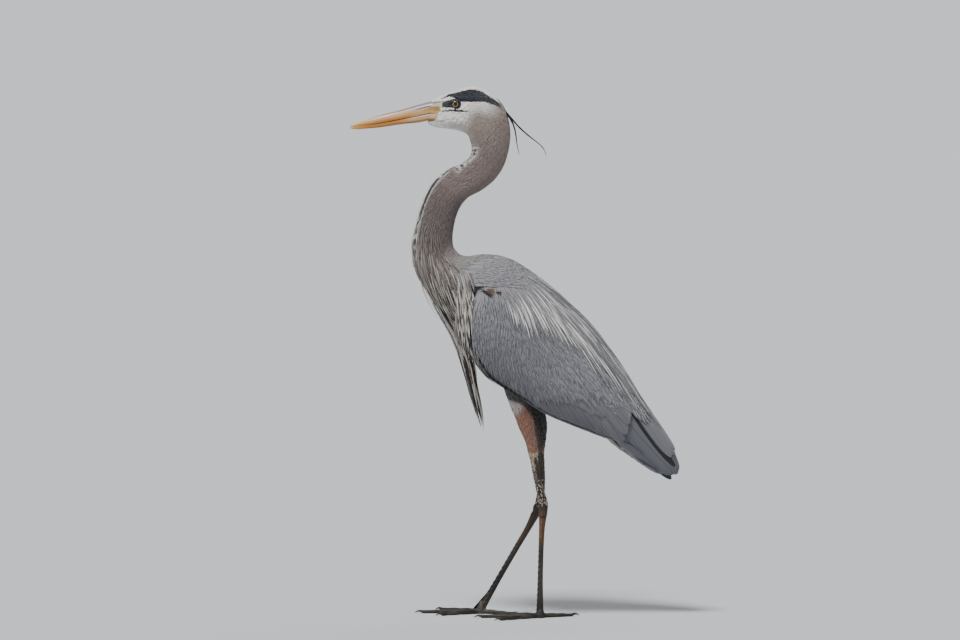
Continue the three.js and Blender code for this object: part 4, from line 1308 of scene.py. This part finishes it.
covert_finish = feather_finish("coverts", 0.72, 0.34, 0.05, 0.12, 0.2)
quill_finish = feather_finish("flight_feathers", 0.6, 0.22, 0.55, -0.25, 0.1)
x, z = covert_roots(51)
apart = np.stack([x - SHOULDER_POINT[0], z - SHOULDER_POINT[2]], -1)
away = np.hypot(apart[:, 0], apart[:, 1])
fan = (COVERT_LENGTH + COVERT_LENGTH_GAIN * growth(away))[:, None] * apart / away[:, None]
end_x, end_z = x + fan[:, 0], z + fan[:, 1]
front_x = np.interp(z, wing_front_z, wing_front_x)
end_front = np.interp(end_z, np.append([0.389, 0.408], wing_front_z),
                      np.append([-0.042, -0.057], wing_front_x))
over_edge = np.interp(x, [0.0, 0.03, 0.07, 0.13], [0, 0.010, 0.034, 0.058])
keep = (x > front_x - 0.001) & (end_x > end_front + 0.001) & (end_z > wing_low(end_x) + over_edge)
keep &= z > np.interp(x, [0.03, 0.10, 0.20], [0.30, 0.36, 0.31])
keep &= (x < 0.205) & (z < np.interp(x, [-0.1, 0.0, 0.03], [0.553, 0.553, 0.8]))
x, z, away = x[keep], z[keep], away[keep]
for side, side_name in SIDES:
    u, v, on_it = find_on_wing(x, z, side)
    u, v, grown = u[on_it], v[on_it], growth(away[on_it])
    rng = np.random.default_rng(52)
    choice = rng.uniform(0, 1, len(u))
    reach = (COVERT_LENGTH + COVERT_LENGTH_GAIN * grown) * rng.uniform(0.80, 1.10, len(u))
    streak = np.where((choice < 0.5)[:, None], SLATE_DARK, SLATE_PALE)
    coat(covert_finish, "plumage_grey", f"wing_coverts_{side_name}", wing_form, u, v, fanning, reach,
         0.0048 + 0.0018 * grown, HACKLE, (-0.0021, 0.0003 * rng.uniform(0, 1, len(u))), wing_tones,
         wing_patch, bow=0.03, bend=rng.normal(0, 0.035, len(u)), vary=0.08, thickness=0.0001,
         own=(streak, 0.30 * (np.abs(choice - 0.5) > 0.28), (0.2, 0.6)), seed=53)


# the small rusty and black feathers at the bend of the wing, in two tufts that point backwards
# root x, root z, length, width, level, fall for each step back, tone
BEND_TUFTS = [
    (-70.0, 535.1, 20, 1.5, 0.4, 0.00, "black"), (-55.5, 535.5, 22, 3.2, 0.2, 0.79, "black"),
    (-52.0, 534.9, 17, 3.2, 0.1, 0.70, "black"), (-47.0, 535.7, 12.5, 3.0, 0.8, 0.03, "rust"),
    (-46.0, 533.7, 11.5, 3.0, 0.7, 0.10, "rust"), (-44.5, 531.7, 9.5, 2.8, 0.6, 0.20, "rust"),
    (-42.5, 529.7, 7, 2.4, 0.5, 0.35, "rust"), (-40.5, 527.9, 5, 2.0, 0.4, 0.50, "rust"),
    (-33.5, 531.8, 11, 1.8, 0.6, 0.00, "rust"), (-31.0, 529.4, 8, 1.6, 0.6, 0.08, "rust"),
    (-32.4, 530.6, 10, 2.2, 0.9, 0.03, "black"),
]
bend_rows = np.array([row[:6] for row in BEND_TUFTS]) / 1000
bend_tones = np.array([{"black": linear("1b1a1c"), "rust": linear("694a40")}[row[6]] for row in BEND_TUFTS])
drop = bend_rows[:, 5] * 1000
falling = lambda points, along: unit(np.stack([np.ones(len(drop)), np.zeros(len(drop)), -drop], -1))
for side, side_name in SIDES:
    u, v, _ = find_on_wing(bend_rows[:, 0], bend_rows[:, 1], side)
    coat(covert_finish, "plumage_black", f"bend_tufts_{side_name}", wing_form, u, v, falling,
         bend_rows[:, 2], bend_rows[:, 3], HACKLE, (0.0006, 0.0011 + bend_rows[:, 4]), wing_tones,
         bow=0.1, vary=0.10, own=(bend_tones, 1.0, WHOLE_VANE), seed=54)


# strands of the neck's base and the breast that hang over the wing's front edge
def down_the_edge(points, along):
    """The lie of the strands on the wing's front: down, and a little backwards high on the shoulder."""
    lean = np.interp(points[:, 2], [0.50, 0.54, 0.59], [0.10, 0.28, 0.42])
    return unit(np.stack([lean, np.zeros(len(points)), -np.ones(len(points))], -1))


for side, side_name in SIDES:
    u, v = even_roots(wing_form, 0.02, 2.6, 0.0062, 0.0026, 47, (0.9, 2.9) if side > 0 else (-2.9, -0.9))
    x, _, z = wing_form(u, v).T
    edge_x = np.interp(z, [0.45, 0.49, 0.529, 0.545, 0.575, 0.60],
                       [-0.073, -0.074, -0.068, -0.071, -0.077, -0.088])
    rng = np.random.default_rng(48)
    edge_x = edge_x - 0.006 * rng.uniform(0, 1, len(u))
    keep = (np.abs(x - edge_x + 0.011) < 0.011) & (z > 0.462) & (z < 0.592)
    u, v, z = u[keep], v[keep], z[keep]
    own_tone = streak_tones(z - 0.012, 0.22, 0.50, 49)
    coat(plume_finish, "plumage_neck", f"shoulder_strands_{side_name}", wing_form, u, v, down_the_edge,
         0.034 * rng.uniform(0.7, 1.2, len(u)), 0.0026 * rng.uniform(0.8, 1.25, len(u)), LANCE,
         (-0.0030, 0.0008 + 0.0012 * rng.uniform(0, 1, len(u))), wing_tones, wing_patch,
         bend=rng.normal(0, 0.05, len(u)), vary=0.3,
         own=(own_tone, 0.9 * (1 - ease(z, 0.560, 0.595)), (0.0, 0.45)), seed=50)


rim_line = wing_edge_line(WING_LOWER_EDGE[:-1]) / 1000
rim_run = np.concatenate([[0], np.cumsum(np.linalg.norm(np.diff(rim_line, axis=0), axis=-1))])
rim_station, rim_turn, _ = find_on_wing(rim_line[:, 0], rim_line[:, 1], 1)
rim_reach = np.abs(wing_form(rim_station, rim_turn, 0.0)[:, 1])


def rim_form(side):
    """A band under the wing's front and lower edge: u runs along the edge in metres, and v across
    from the bird's middle (0) to the wing's side (1), where the fourth power of v turns it inwards."""
    def surface(u, v, lift):
        on_line = lambda run: np.stack([np.interp(run, rim_run, rim_line[:, k]) for k in (0, 1)], -1)
        spot, ahead = on_line(u), unit(on_line(u + 0.006) - on_line(u - 0.006))
        across = side * v * np.interp(u, rim_run, rim_reach)
        lift = lift - 0.0032 * np.clip(v, 0, 1.1) ** 4
        return np.stack([spot[..., 0] + ahead[..., 1] * lift, across,
                         spot[..., 1] - ahead[..., 0] * lift], -1)
    return surface


rng = np.random.default_rng(58)
u, v = [], []
for row in np.arange(0.004, rim_run[-1] - 0.010, 0.0078):
    n = max(4, int(np.interp(row, rim_run, rim_reach) / 0.0052))
    u.append(row + rng.uniform(-0.002, 0.002, n))
    v.append((np.arange(n) + rng.uniform(0.2, 0.8)) / n)
u, v = np.concatenate(u), np.concatenate(v)
# behind the front of the lower edge, the edge feathers take mostly plain slate over the painted shade there
for side, side_name in SIDES:
    coat(covert_finish, "plumage_grey", f"wing_edge_feathers_{side_name}", rim_form(side), u, v, backwards,
         0.026 * rng.uniform(0.85, 1.1, len(u)), 0.0080, HACKLE,
         (-0.0034, -0.0006 + 0.0004 * rng.uniform(0, 1, len(u))), wing_tones, lambda u, v: (u, v),
         bow=0.06, bend=rng.normal(0, 0.06, len(u)), vary=0.12,
         own=(SLATE, 0.8 * ease(u, 0.235, 0.275), WHOLE_VANE), seed=59)


def row_of_quills(tips_x, rise_from_edge, reach, turn):
    """Roots and lie of a row of long feathers whose tips stand the rise above the wing's lower edge:
    each lies away from the shoulder point, turned a little backwards."""
    tips_z = wing_low(tips_x) + rise_from_edge
    lie = np.stack([tips_x - SHOULDER_POINT[0], tips_z - SHOULDER_POINT[2]], -1)
    lie = unit(unit(lie) + np.stack([turn, 0 * turn], -1))
    return tips_x - lie[:, 0] * reach, tips_z - lie[:, 1] * reach, lie


def straight(lie):
    """The lie of a row of long feathers, each of which keeps its own direction in side view."""
    ahead = np.stack([lie[:, 0], np.zeros(len(lie)), lie[:, 1]], -1)
    return lambda points, along: ahead


# three rows, the first under the second: tips from, tips to, number, height over the edge in front and
# behind, length, width, level
QUILL_ROWS = {
    "under_secondaries": (-0.046, 0.182, 34, -0.004, -0.001, 0.080, 0.015, -0.0030),
    "secondaries": (-0.035, 0.176, 19, 0.001, 0.009, 0.125, 0.022, -0.0026),
    "greater_coverts": (-0.048, 0.172, 26, 0.020, 0.046, 0.070, 0.0155, -0.0016),
}
for row_name, (start, end, count, edge_front, edge_back, reach, wide, level) in QUILL_ROWS.items():
    order = np.linspace(0, 1, count)
    tips_x = start + (end - start) * order
    reach = reach * (0.75 + 0.25 * ease(order, 0, 0.4))
    roots_x, roots_z, lie = row_of_quills(tips_x, edge_front + (edge_back - edge_front) * order ** 1.5, reach,
                                          0.08 * ease(order, 0.2, 1.0))
    for side, side_name in SIDES:
        u, v, _ = find_on_wing(roots_x, roots_z, side)
        coat(quill_finish, "plumage_grey", f"{row_name}_{side_name}", wing_form, u, v, straight(lie), reach,
             wide, QUILL, (level - 0.001 + 0.0006 * order, level + 0.0012 * order), wing_tones,
             bow=0.05, vary=0.14, thickness=0.0004, seed=55)


# the rear of the folded wing: tertials over black primaries
def rear_form(side):
    """A sheet over one side of the wing's rear, u being x and v being z: it stands as deep as the
    folded wing's own surface there, and never nearer the middle than 6 mm."""
    def surface(u, v, lift):
        station, turn, _ = find_on_wing(np.ravel(u), np.ravel(v), side)
        depth = np.abs(wing_form(station, turn, 0.0)[:, 1]).reshape(np.shape(u))
        return np.stack([u, side * (np.maximum(depth, 0.006) + lift), v], -1)
    return surface


# root x, z, tip x, z, width, height at the tip, tone, bend
REAR_QUILLS = [
    (130, 318, 236, 224, 15, -6.0, "black", 0.05), (140, 330, 253, 215, 14, -6.4, "black", 0.0),
    (126, 350, 240, 227, 30, -3.0, "slate", 0.05), (144, 367, 264, 232, 38, -2.4, "slate", 0.08),
    (160, 371, 268, 243, 12, -3.0, "black", 0.12), (165, 377, 270, 250, 15, -1.8, "black", 0.12),
    (160, 395, 265, 267, 19, -0.6, "pale", 0.10), (112, 400, 184, 300, 24, 0.0, "pale", 0.0),
    (102, 392, 177, 285, 24, -0.9, "pale", 0.0), (118, 410, 189, 318, 22, 0.4, "pale", 0.0),
]
REAR_TONES = {"black": linear("18191c"), "slate": linear("606168"), "pale": linear("69696f")}
rear_rows = np.array([row[:6] for row in REAR_QUILLS]) / 1000
rear_bends = np.array([row[7] for row in REAR_QUILLS])
quill_tones = np.array([REAR_TONES[row[6]] for row in REAR_QUILLS])
lie = rear_rows[:, 2:4] - rear_rows[:, 0:2]
run = np.linalg.norm(lie, axis=-1)
for side, side_name in SIDES:
    rear = coat(quill_finish, "plumage_black", f"rear_quills_{side_name}", rear_form(side), rear_rows[:, 0],
                rear_rows[:, 1], straight(unit(lie)), run, rear_rows[:, 4], QUILL,
                (rear_rows[:, 5] - 0.004, rear_rows[:, 5]), wing_tones, bend=-side * rear_bends, bow=0.04,
                vary=0.06, thickness=0.0006, own=(quill_tones, 0.9, WHOLE_VANE), seed=57)
    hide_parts(f"primaries_{side_name}")


def mantle_patch(u, v):
    """Places on the unwrap of the back: station across, turn over the back up."""
    turn = np.angle(np.exp(1j * v)) / 3.4 + 0.5
    return on_map(u / WING_STATIONS), on_map(turn)


# the inmost tertials, which meet over the back
turns = np.array([-0.80, -0.62, -0.44, -0.26, -0.09, 0.09, 0.26, 0.44, 0.62, 0.80])
inner = 1 - np.abs(turns) / 0.8
u = 4.85 + 0.10 * (1 - inner) + 0.06 * (np.arange(10) % 2)
coat(quill_finish, "plumage_grey", "inner_tertials", wing_form, u, turns, backwards, 0.106 + 0.006 * inner,
     0.0170, QUILL, (-0.0030 + 0.0012 * inner, -0.0002 + 0.0022 * inner), wing_tones, bow=0.10,
     bend=-0.06 * np.sign(turns) * (1 - inner), vary=0.08, thickness=0.0005,
     own=(REAR_TONES["pale"], 0.8, WHOLE_VANE), seed=60)


# ---------------------------------------------------------------- scapular plumes
# Grey mantle feathers over the back and, over them, long narrow pointed plumes from dark grey to
# white that fan from the shoulders across the wings and down the back.

TIP_TURNS = np.radians([14, 18, 24.6, 28.4, 30.3, 32.6, 36.5, 38.5, 42])
TIP_REACHES = np.array([0.205, 0.233, 0.272, 0.297, 0.315, 0.362, 0.410, 0.455, 0.47])
MANTLE_GREY, PLUME_GREY = linear("87868a"), linear("626268")
PLUME_PALE, PLUME_WHITE = linear("9d9c9e"), linear("ebe8e2")


def over_back(points, along):
    """The lie of the back's feathers: level over the shoulders, then along the back."""
    x, y, z = points.T
    level = (1 - ease(x, -0.02, 0.06)) * ease(z, 0.50, 0.53)
    flat = np.stack([np.ones(len(x)), np.zeros(len(x)), np.full(len(x), -0.10)], -1)
    return unit(unit(flat) * level[:, None] + along * (1 - level)[:, None])


u, v = even_roots(wing_form, 0.05, 7.4, 0.0054, 0.0028, 61, (-1.9, 1.9))
x, _, z = wing_form(u, v).T
low_line = np.interp(x, [-0.10, 0.005, 0.03, 0.087, 0.15, 0.20], [0.5415, 0.5415, 0.494, 0.414, 0.340, 0.290])
keep = (z > low_line) & (x > np.interp(z, [0.53, 0.57, 0.59], [-0.080, -0.092, -0.084]))
keep &= x < np.interp(z, [0.30, 0.345, 0.385], [0.158, 0.174, 0.198])
u, v = u[keep], v[keep]
rng = np.random.default_rng(62)
coat(covert_finish, "plumage_grey", "mantle_feathers", wing_form, u, v, over_back,
     0.022 * rng.uniform(0.85, 1.2, len(u)), 0.0040, LOCK,
     (-0.0020 + 0.0012 * (1 - ease(u, 0.1, 0.8)), 0.0002 * rng.uniform(0, 1, len(u))), wing_tones,
     mantle_patch, bow=0.06, bend=rng.normal(0, 0.04, len(u)), vary=0.08, thickness=0.00010,
     own=(MANTLE_GREY * 0.9, 0.5, WHOLE_VANE), seed=63)


def plume_tones(choice):
    """Tones of the plumes: dark grey, mantle grey, pale grey and white, each for its share of the choice."""
    tones = np.where((choice < 0.64)[:, None], MANTLE_GREY, PLUME_PALE)
    tones = np.where((choice < 0.38)[:, None], PLUME_GREY, tones)
    return np.where((choice > 0.80)[:, None], PLUME_WHITE, tones)


GOLDEN_SHARE = 0.61803
scapular_finish = feather_finish("scapular_plumes", 0.62, 0.25, -0.45, 0.25, 0.2)
rng = np.random.default_rng(67)
count = 150
u, v = rng.uniform(0.9, 4.7, count), (np.arange(count) * GOLDEN_SHARE % 1 - 0.5) * 1.3
choice = rng.permutation(count) / count
coat(scapular_finish, "plumage_plumes", "back_plumes", wing_form, u, v, over_back,
     0.085 * rng.uniform(0.7, 1.2, count), 0.0025 * rng.uniform(0.75, 1.25, count), LANCE,
     (-0.0010, 0.0004 + 0.0010 * rng.uniform(0, 1, count)), wing_tones, mantle_patch,
     bend=rng.normal(0, 0.04, count), own=(plume_tones(choice), 0.9, (0.2, 0.6)), seed=68)
for side, side_name in SIDES:
    rng = np.random.default_rng(64)
    count = 500
    order = (np.arange(count) * GOLDEN_SHARE + rng.uniform(0, 0.004, count)) % 1
    turns = np.radians(16 + 28 * order ** 0.85)
    rearward = ease(turns, math.radians(20), math.radians(38))
    shorter = (0.12 + 0.34 * rearward) * rng.uniform(0, 1, count)
    tip = np.interp(turns, TIP_TURNS, TIP_REACHES) * (1.06 - shorter)
    nearest = 0.160 + 0.03 * rng.uniform(0, 1, count)
    reach = np.maximum(nearest, tip - 0.06 - 0.095 * rng.uniform(0.5, 1, count))
    long = tip - reach
    droop = 0.42 - 0.28 * rearward
    turns = turns + 0.30 * droop * long / reach
    x = SHOULDER_POINT[0] + reach * np.sin(turns)
    z = SHOULDER_POINT[2] - reach * np.cos(turns)
    u, v, on_it = find_on_wing(x, z, side)
    u, v, long, droop = u[on_it], v[on_it], long[on_it], droop[on_it]
    count = len(u)
    choice = rng.permutation(count) / count
    coat(scapular_finish, "plumage_plumes", f"scapular_plumes_{side_name}", wing_form, u, v, fanning, long,
         0.0025 * rng.uniform(0.75, 1.25, count), LANCE,
         (-0.0010, 0.0004 + 0.0012 * rng.uniform(0, 1, count) + 0.0003 * (choice > 0.78)), wing_tones,
         wing_patch, bend=side * droop + rng.normal(0, 0.04, count),
         own=(plume_tones(choice), 0.95, (0.2, 0.6)), seed=65)


# ---------------------------------------------------------------- tail
# Twelve slate tail feathers, folded into a narrow wedge under the wing tips, with pale fluffy
# coverts below their roots.

TAIL_ROOT, TAIL_TIP = np.array([0.174, 0.0, 0.288]), np.array([0.246, 0.0, 0.231])
TAIL_HALVES = (0.017, 0.025)


def tail_form(u, v, lift):
    """The tail's surface: from root to tip along u, across its half width by v, bent a little down
    at the edges by the square of v."""
    ahead = TAIL_TIP - TAIL_ROOT
    above = np.array([-ahead[2], 0, ahead[0]]) / np.linalg.norm(ahead)
    half = TAIL_HALVES[0] + (TAIL_HALVES[1] - TAIL_HALVES[0]) * u
    point = TAIL_ROOT + ahead * u[..., None] + above * (lift - 0.005 * v * v)[..., None]
    point[..., 1] = v * half
    return point


count = 12
rank = np.linspace(-1, 1, count)
spreading = lambda points, along: unit(along + np.stack([np.zeros(count), 0.07 * rank, np.zeros(count)], -1))
tail = coat(quill_finish, "plumage_grey", "tail_feathers", tail_form, np.full(count, -0.25), rank * 0.72,
            spreading, 0.108 - 0.007 * np.abs(rank), 0.013, QUILL,
            (0.0005 - 0.0022 * np.abs(rank), 0.0022 - 0.0042 * np.abs(rank)), wing_tones, bow=0.03,
            thickness=0.0006, own=(linear("5c5e66"), 0.9, WHOLE_VANE), seed=67)
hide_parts("tail")

u, v = even_roots(body_form, 20.8, 22.96, 0.0065, 0.0050, 68)
rng = np.random.default_rng(69)
towards_tail = lambda points, along: unit(np.array([0.72, 0.0, -0.62]) + 0.4 * along)
coat(soft_finish, "plumage_grey", "undertail_coverts", body_form, u, v, towards_tail,
     0.026 * rng.uniform(0.7, 1.15, len(u)), 0.0062, HACKLE,
     (-0.0020, 0.0006 + 0.001 * rng.uniform(0, 1, len(u))), plumage, loft_patch(21, 23),
     bend=rng.normal(0, 0.15, len(u)), vary=0.5,
     own=(VENT_PALE, rng.uniform(0.3, 0.9, len(u)), WHOLE_VANE), seed=70)


# ---------------------------------------------------------------- crest plumes
# Two long black plumes that grow from the back of the crown, one curved away to a hooked tip, with a
# few finer ones beside them.

CRESTS = {
    "crest_plume_long": [(-26, 2, 834), (-17.5, 3, 821), (-7, 3.5, 808.5), (5, 4, 794.5), (21, 4, 780),
                         (35, 4, 769.5), (45, 4, 760), (50, 4, 747)],
    "crest_plume_short": [(-24, -2, 832), (-15.5, -3, 818), (-5, -4, 802), (0, -5, 785), (2, -5, 768),
                          (6, -4, 750)],
}


def on_ribbon(path):
    """A flat ribbon along a smooth path: u runs along it from 0 to 1 and v up across it, in metres."""
    path = np.array(path, float) / 1000

    def surface(u, v, lift):
        where = u * (len(path) - 1)
        point = smooth_line(path, where)
        ahead = unit(smooth_line(path, where + 0.02) - smooth_line(path, where - 0.02))
        side = np.array([0.0, 1.0, 0.0])
        above = unit(np.cross(ahead, side))
        return point + above * v[..., None] + side * lift[..., None]
    return surface


STRAND = ((0.05, 0.15, 0.28, 0.42, 0.56, 0.7, 0.82, 0.92, 0.98),
          (0.6, 0.95, 1.0, 0.95, 0.85, 0.7, 0.55, 0.42, 0.3), (-1, 0, 1))
crest_finish = feather_finish("crest", 0.5, 0.3, 0.0, 0.4, 0.1)
crest_tone = lambda points: np.tile(linear("17181c"), (len(points), 1))
for name, path in CRESTS.items():
    span = np.linalg.norm(np.diff(np.array(path, float), axis=0), axis=-1).sum() / 1000
    rng = np.random.default_rng(71)
    count = 5
    crest = coat(crest_finish, "plumage_black", name + "_vanes", on_ribbon(path), np.full(count, 0.02),
                 rng.normal(0, 0.0007, count), backwards, span * np.array([0.985, 0.9, 0.8, 0.62, 0.5]),
                 np.array([0.0026, 0.0022, 0.0020, 0.0018, 0.0018]), STRAND,
                 (0.0006 * rng.uniform(-1, 1, count), 0.0016 * rng.uniform(-1, 1, count)), crest_tone,
                 bow=0.6, thickness=0.0008, bend=rng.normal(0, 0.03, count) * [0, 1, 1, 1, 1], seed=72)
    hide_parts(name)


# ---------------------------------------------------------------- thigh feathers
# Close soft feathers down each thigh to just above the bare shin: grey-white above, rusty below, and darker
# on the inner side by painted shade.

for leg_name, leg in LEGS.items():
    thigh = leg_form(leg, "thigh", 1.0)
    u, v = even_roots(thigh, 0.0, 0.94, 0.0042, 0.0030, 81)
    rng = np.random.default_rng(82)
    coat(soft_finish, "plumage_thigh", f"thigh_feathers_{leg_name}", thigh, u, v, backwards,
         0.0135 * rng.uniform(0.85, 1.25, len(u)), 0.0042, SOFT,
         (-0.0022, 0.0004 + 0.0005 * rng.uniform(0, 1, len(u))), lambda points: plumage(points, "thigh"),
         loft_patch(0, 1), bend=rng.normal(0, 0.12, len(u)), vary=0.24, seed=83)


# ---------------------------------------------------------------- scutes and claws
# Horny plates that overlap down the front of each shank and along the top of each toe, small ones
# beside them, and a curved claw at the end of every toe.

SCUTE = ((0.06, 0.3, 0.7, 0.94), (0.8, 1.0, 1.0, 0.82), (-1, -0.5, 0, 0.5, 1))
# how deep a claw's root sits in its toe, and how far the claw reaches past it, in millimetres
CLAW_ROOT, CLAW_LENGTH = 1.5, 12
scute_finish, tree, shader = new_material("scutes", 0.42)
grime = noise(tree, object_place(tree), 260.0, 4.0)
grime_shade = carried(tree, grime, 0.3, 0.7, 0.75, 1.2)
surface_looks(tree, shader, scaled(tree, attribute(tree, "plumage"), grime_shade), grime, 0.3, 0.0002)
claw_finish, tree, shader = new_material("claws", 0.35)
grain = noise(tree, object_place(tree), 300.0, 2.0)
claw_tone = add_node(tree, "ShaderNodeMix", {"data_type": "RGBA"}, i0=grain, i6=(*linear("1d1a17"), 1),
                     i7=(*linear("3f362c"), 1))
tree.links.new(claw_tone.outputs[2], shader.inputs["Base Color"])


def limb_length(surface):
    """The length of a limb's surface along its front."""
    places = np.linspace(0, 1, 60)
    line = surface(places, np.full(60, math.pi), np.zeros(60))
    return np.linalg.norm(np.diff(line, axis=0), axis=-1).sum()


def leg_tones(points):
    """The plates of shank and toes: the colours of the bare leg under them."""
    return plumage(points, "leg")


def shin_tones(points):
    """The small plates of the shin: dark on its pale upper half, pale on its dark lower half."""
    return blend(linear("2e2821"), linear("8f8371"), 1 - ease(points[:, 2], 0.214, 0.230))


# turn from the front, and share of the width, of each line of plates
SCUTE_LINES = {"tarsus": [(0.0, 1.0), (1.15, 0.62), (-1.15, 0.62)],
               "shin": [(turn, 1.0) for turn in np.arange(8) * math.pi / 4]}
scute_patch = lambda u, v: (on_map(u), np.clip(0.5 + (v - math.pi) / 4, 0.01, 0.99))
for leg_name, leg in LEGS.items():
    # surface, gap between plates, width, and the part of the length they cover
    plates = {"tarsus": (leg_form(leg, "tarsus", TARSUS_FLATNESS), 0.0052, 0.0085, 0.10, 0.95),
              "shin": (leg_form(leg, "shin", SHIN_FLATNESS), 0.0040, 0.0030, 0.10, 0.93)}
    for toe in TOES:
        plates[f"toe_{toe}"] = (toe_form(leg, toe), 0.0036, 0.0052, 0.14, 0.98)
    for length_name, (surface, gap, wide, first, last) in plates.items():
        step = gap / limb_length(surface)
        rows = np.arange(first, last, step)
        beside = SCUTE_LINES.get(length_name, [(0.0, 1.0)])
        taper = 1 - 0.35 * rows * length_name.startswith("toe")
        u = np.concatenate([rows + 0.5 * (k % 2) * step for k in range(len(beside))])
        v = np.concatenate([np.full(len(rows), math.pi + turn) for turn, _ in beside])
        widths = np.concatenate([wide * taper * share for _, share in beside])
        reach, tones = gap * 1.3, leg_tones
        if length_name == "shin":
            rng = np.random.default_rng(92)
            u = u + rng.uniform(-0.45, 0.45, len(u)) * step
            v = v + rng.uniform(-0.35, 0.35, len(u))
            widths = widths * rng.uniform(0.45, 1.15, len(u))
            reach, tones = gap * 0.85, shin_tones
        coat(scute_finish, "leg_skin", f"scutes_{length_name}_{leg_name}", surface, u, v, backwards, reach,
             widths, SCUTE, (-0.0002, 0.00045), tones, scute_patch, bow=0.02, thickness=0.0004, vary=0.5,
             seed=91)
    shells = []
    for toe, (_, length, _) in TOES.items():
        path = toe_points(leg, toe, length - CLAW_ROOT, length + CLAW_LENGTH, (3.0, 4.1, 1.1))
        claw = on_limb(path, (2.3, 2.1, 1.6, 1.0, 0.35), 0.8)
        shells.append(closed_tube(claw, np.linspace(0, 1, 24), 16))
    claws = join_shells(f"claw_set_{leg_name}", shells)
    smooth_shaded(claws)
    claws.data.materials.append(claw_finish)
    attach(claws, "root")
    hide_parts(*[f"claw_{toe}_{leg_name}" for toe in TOES])
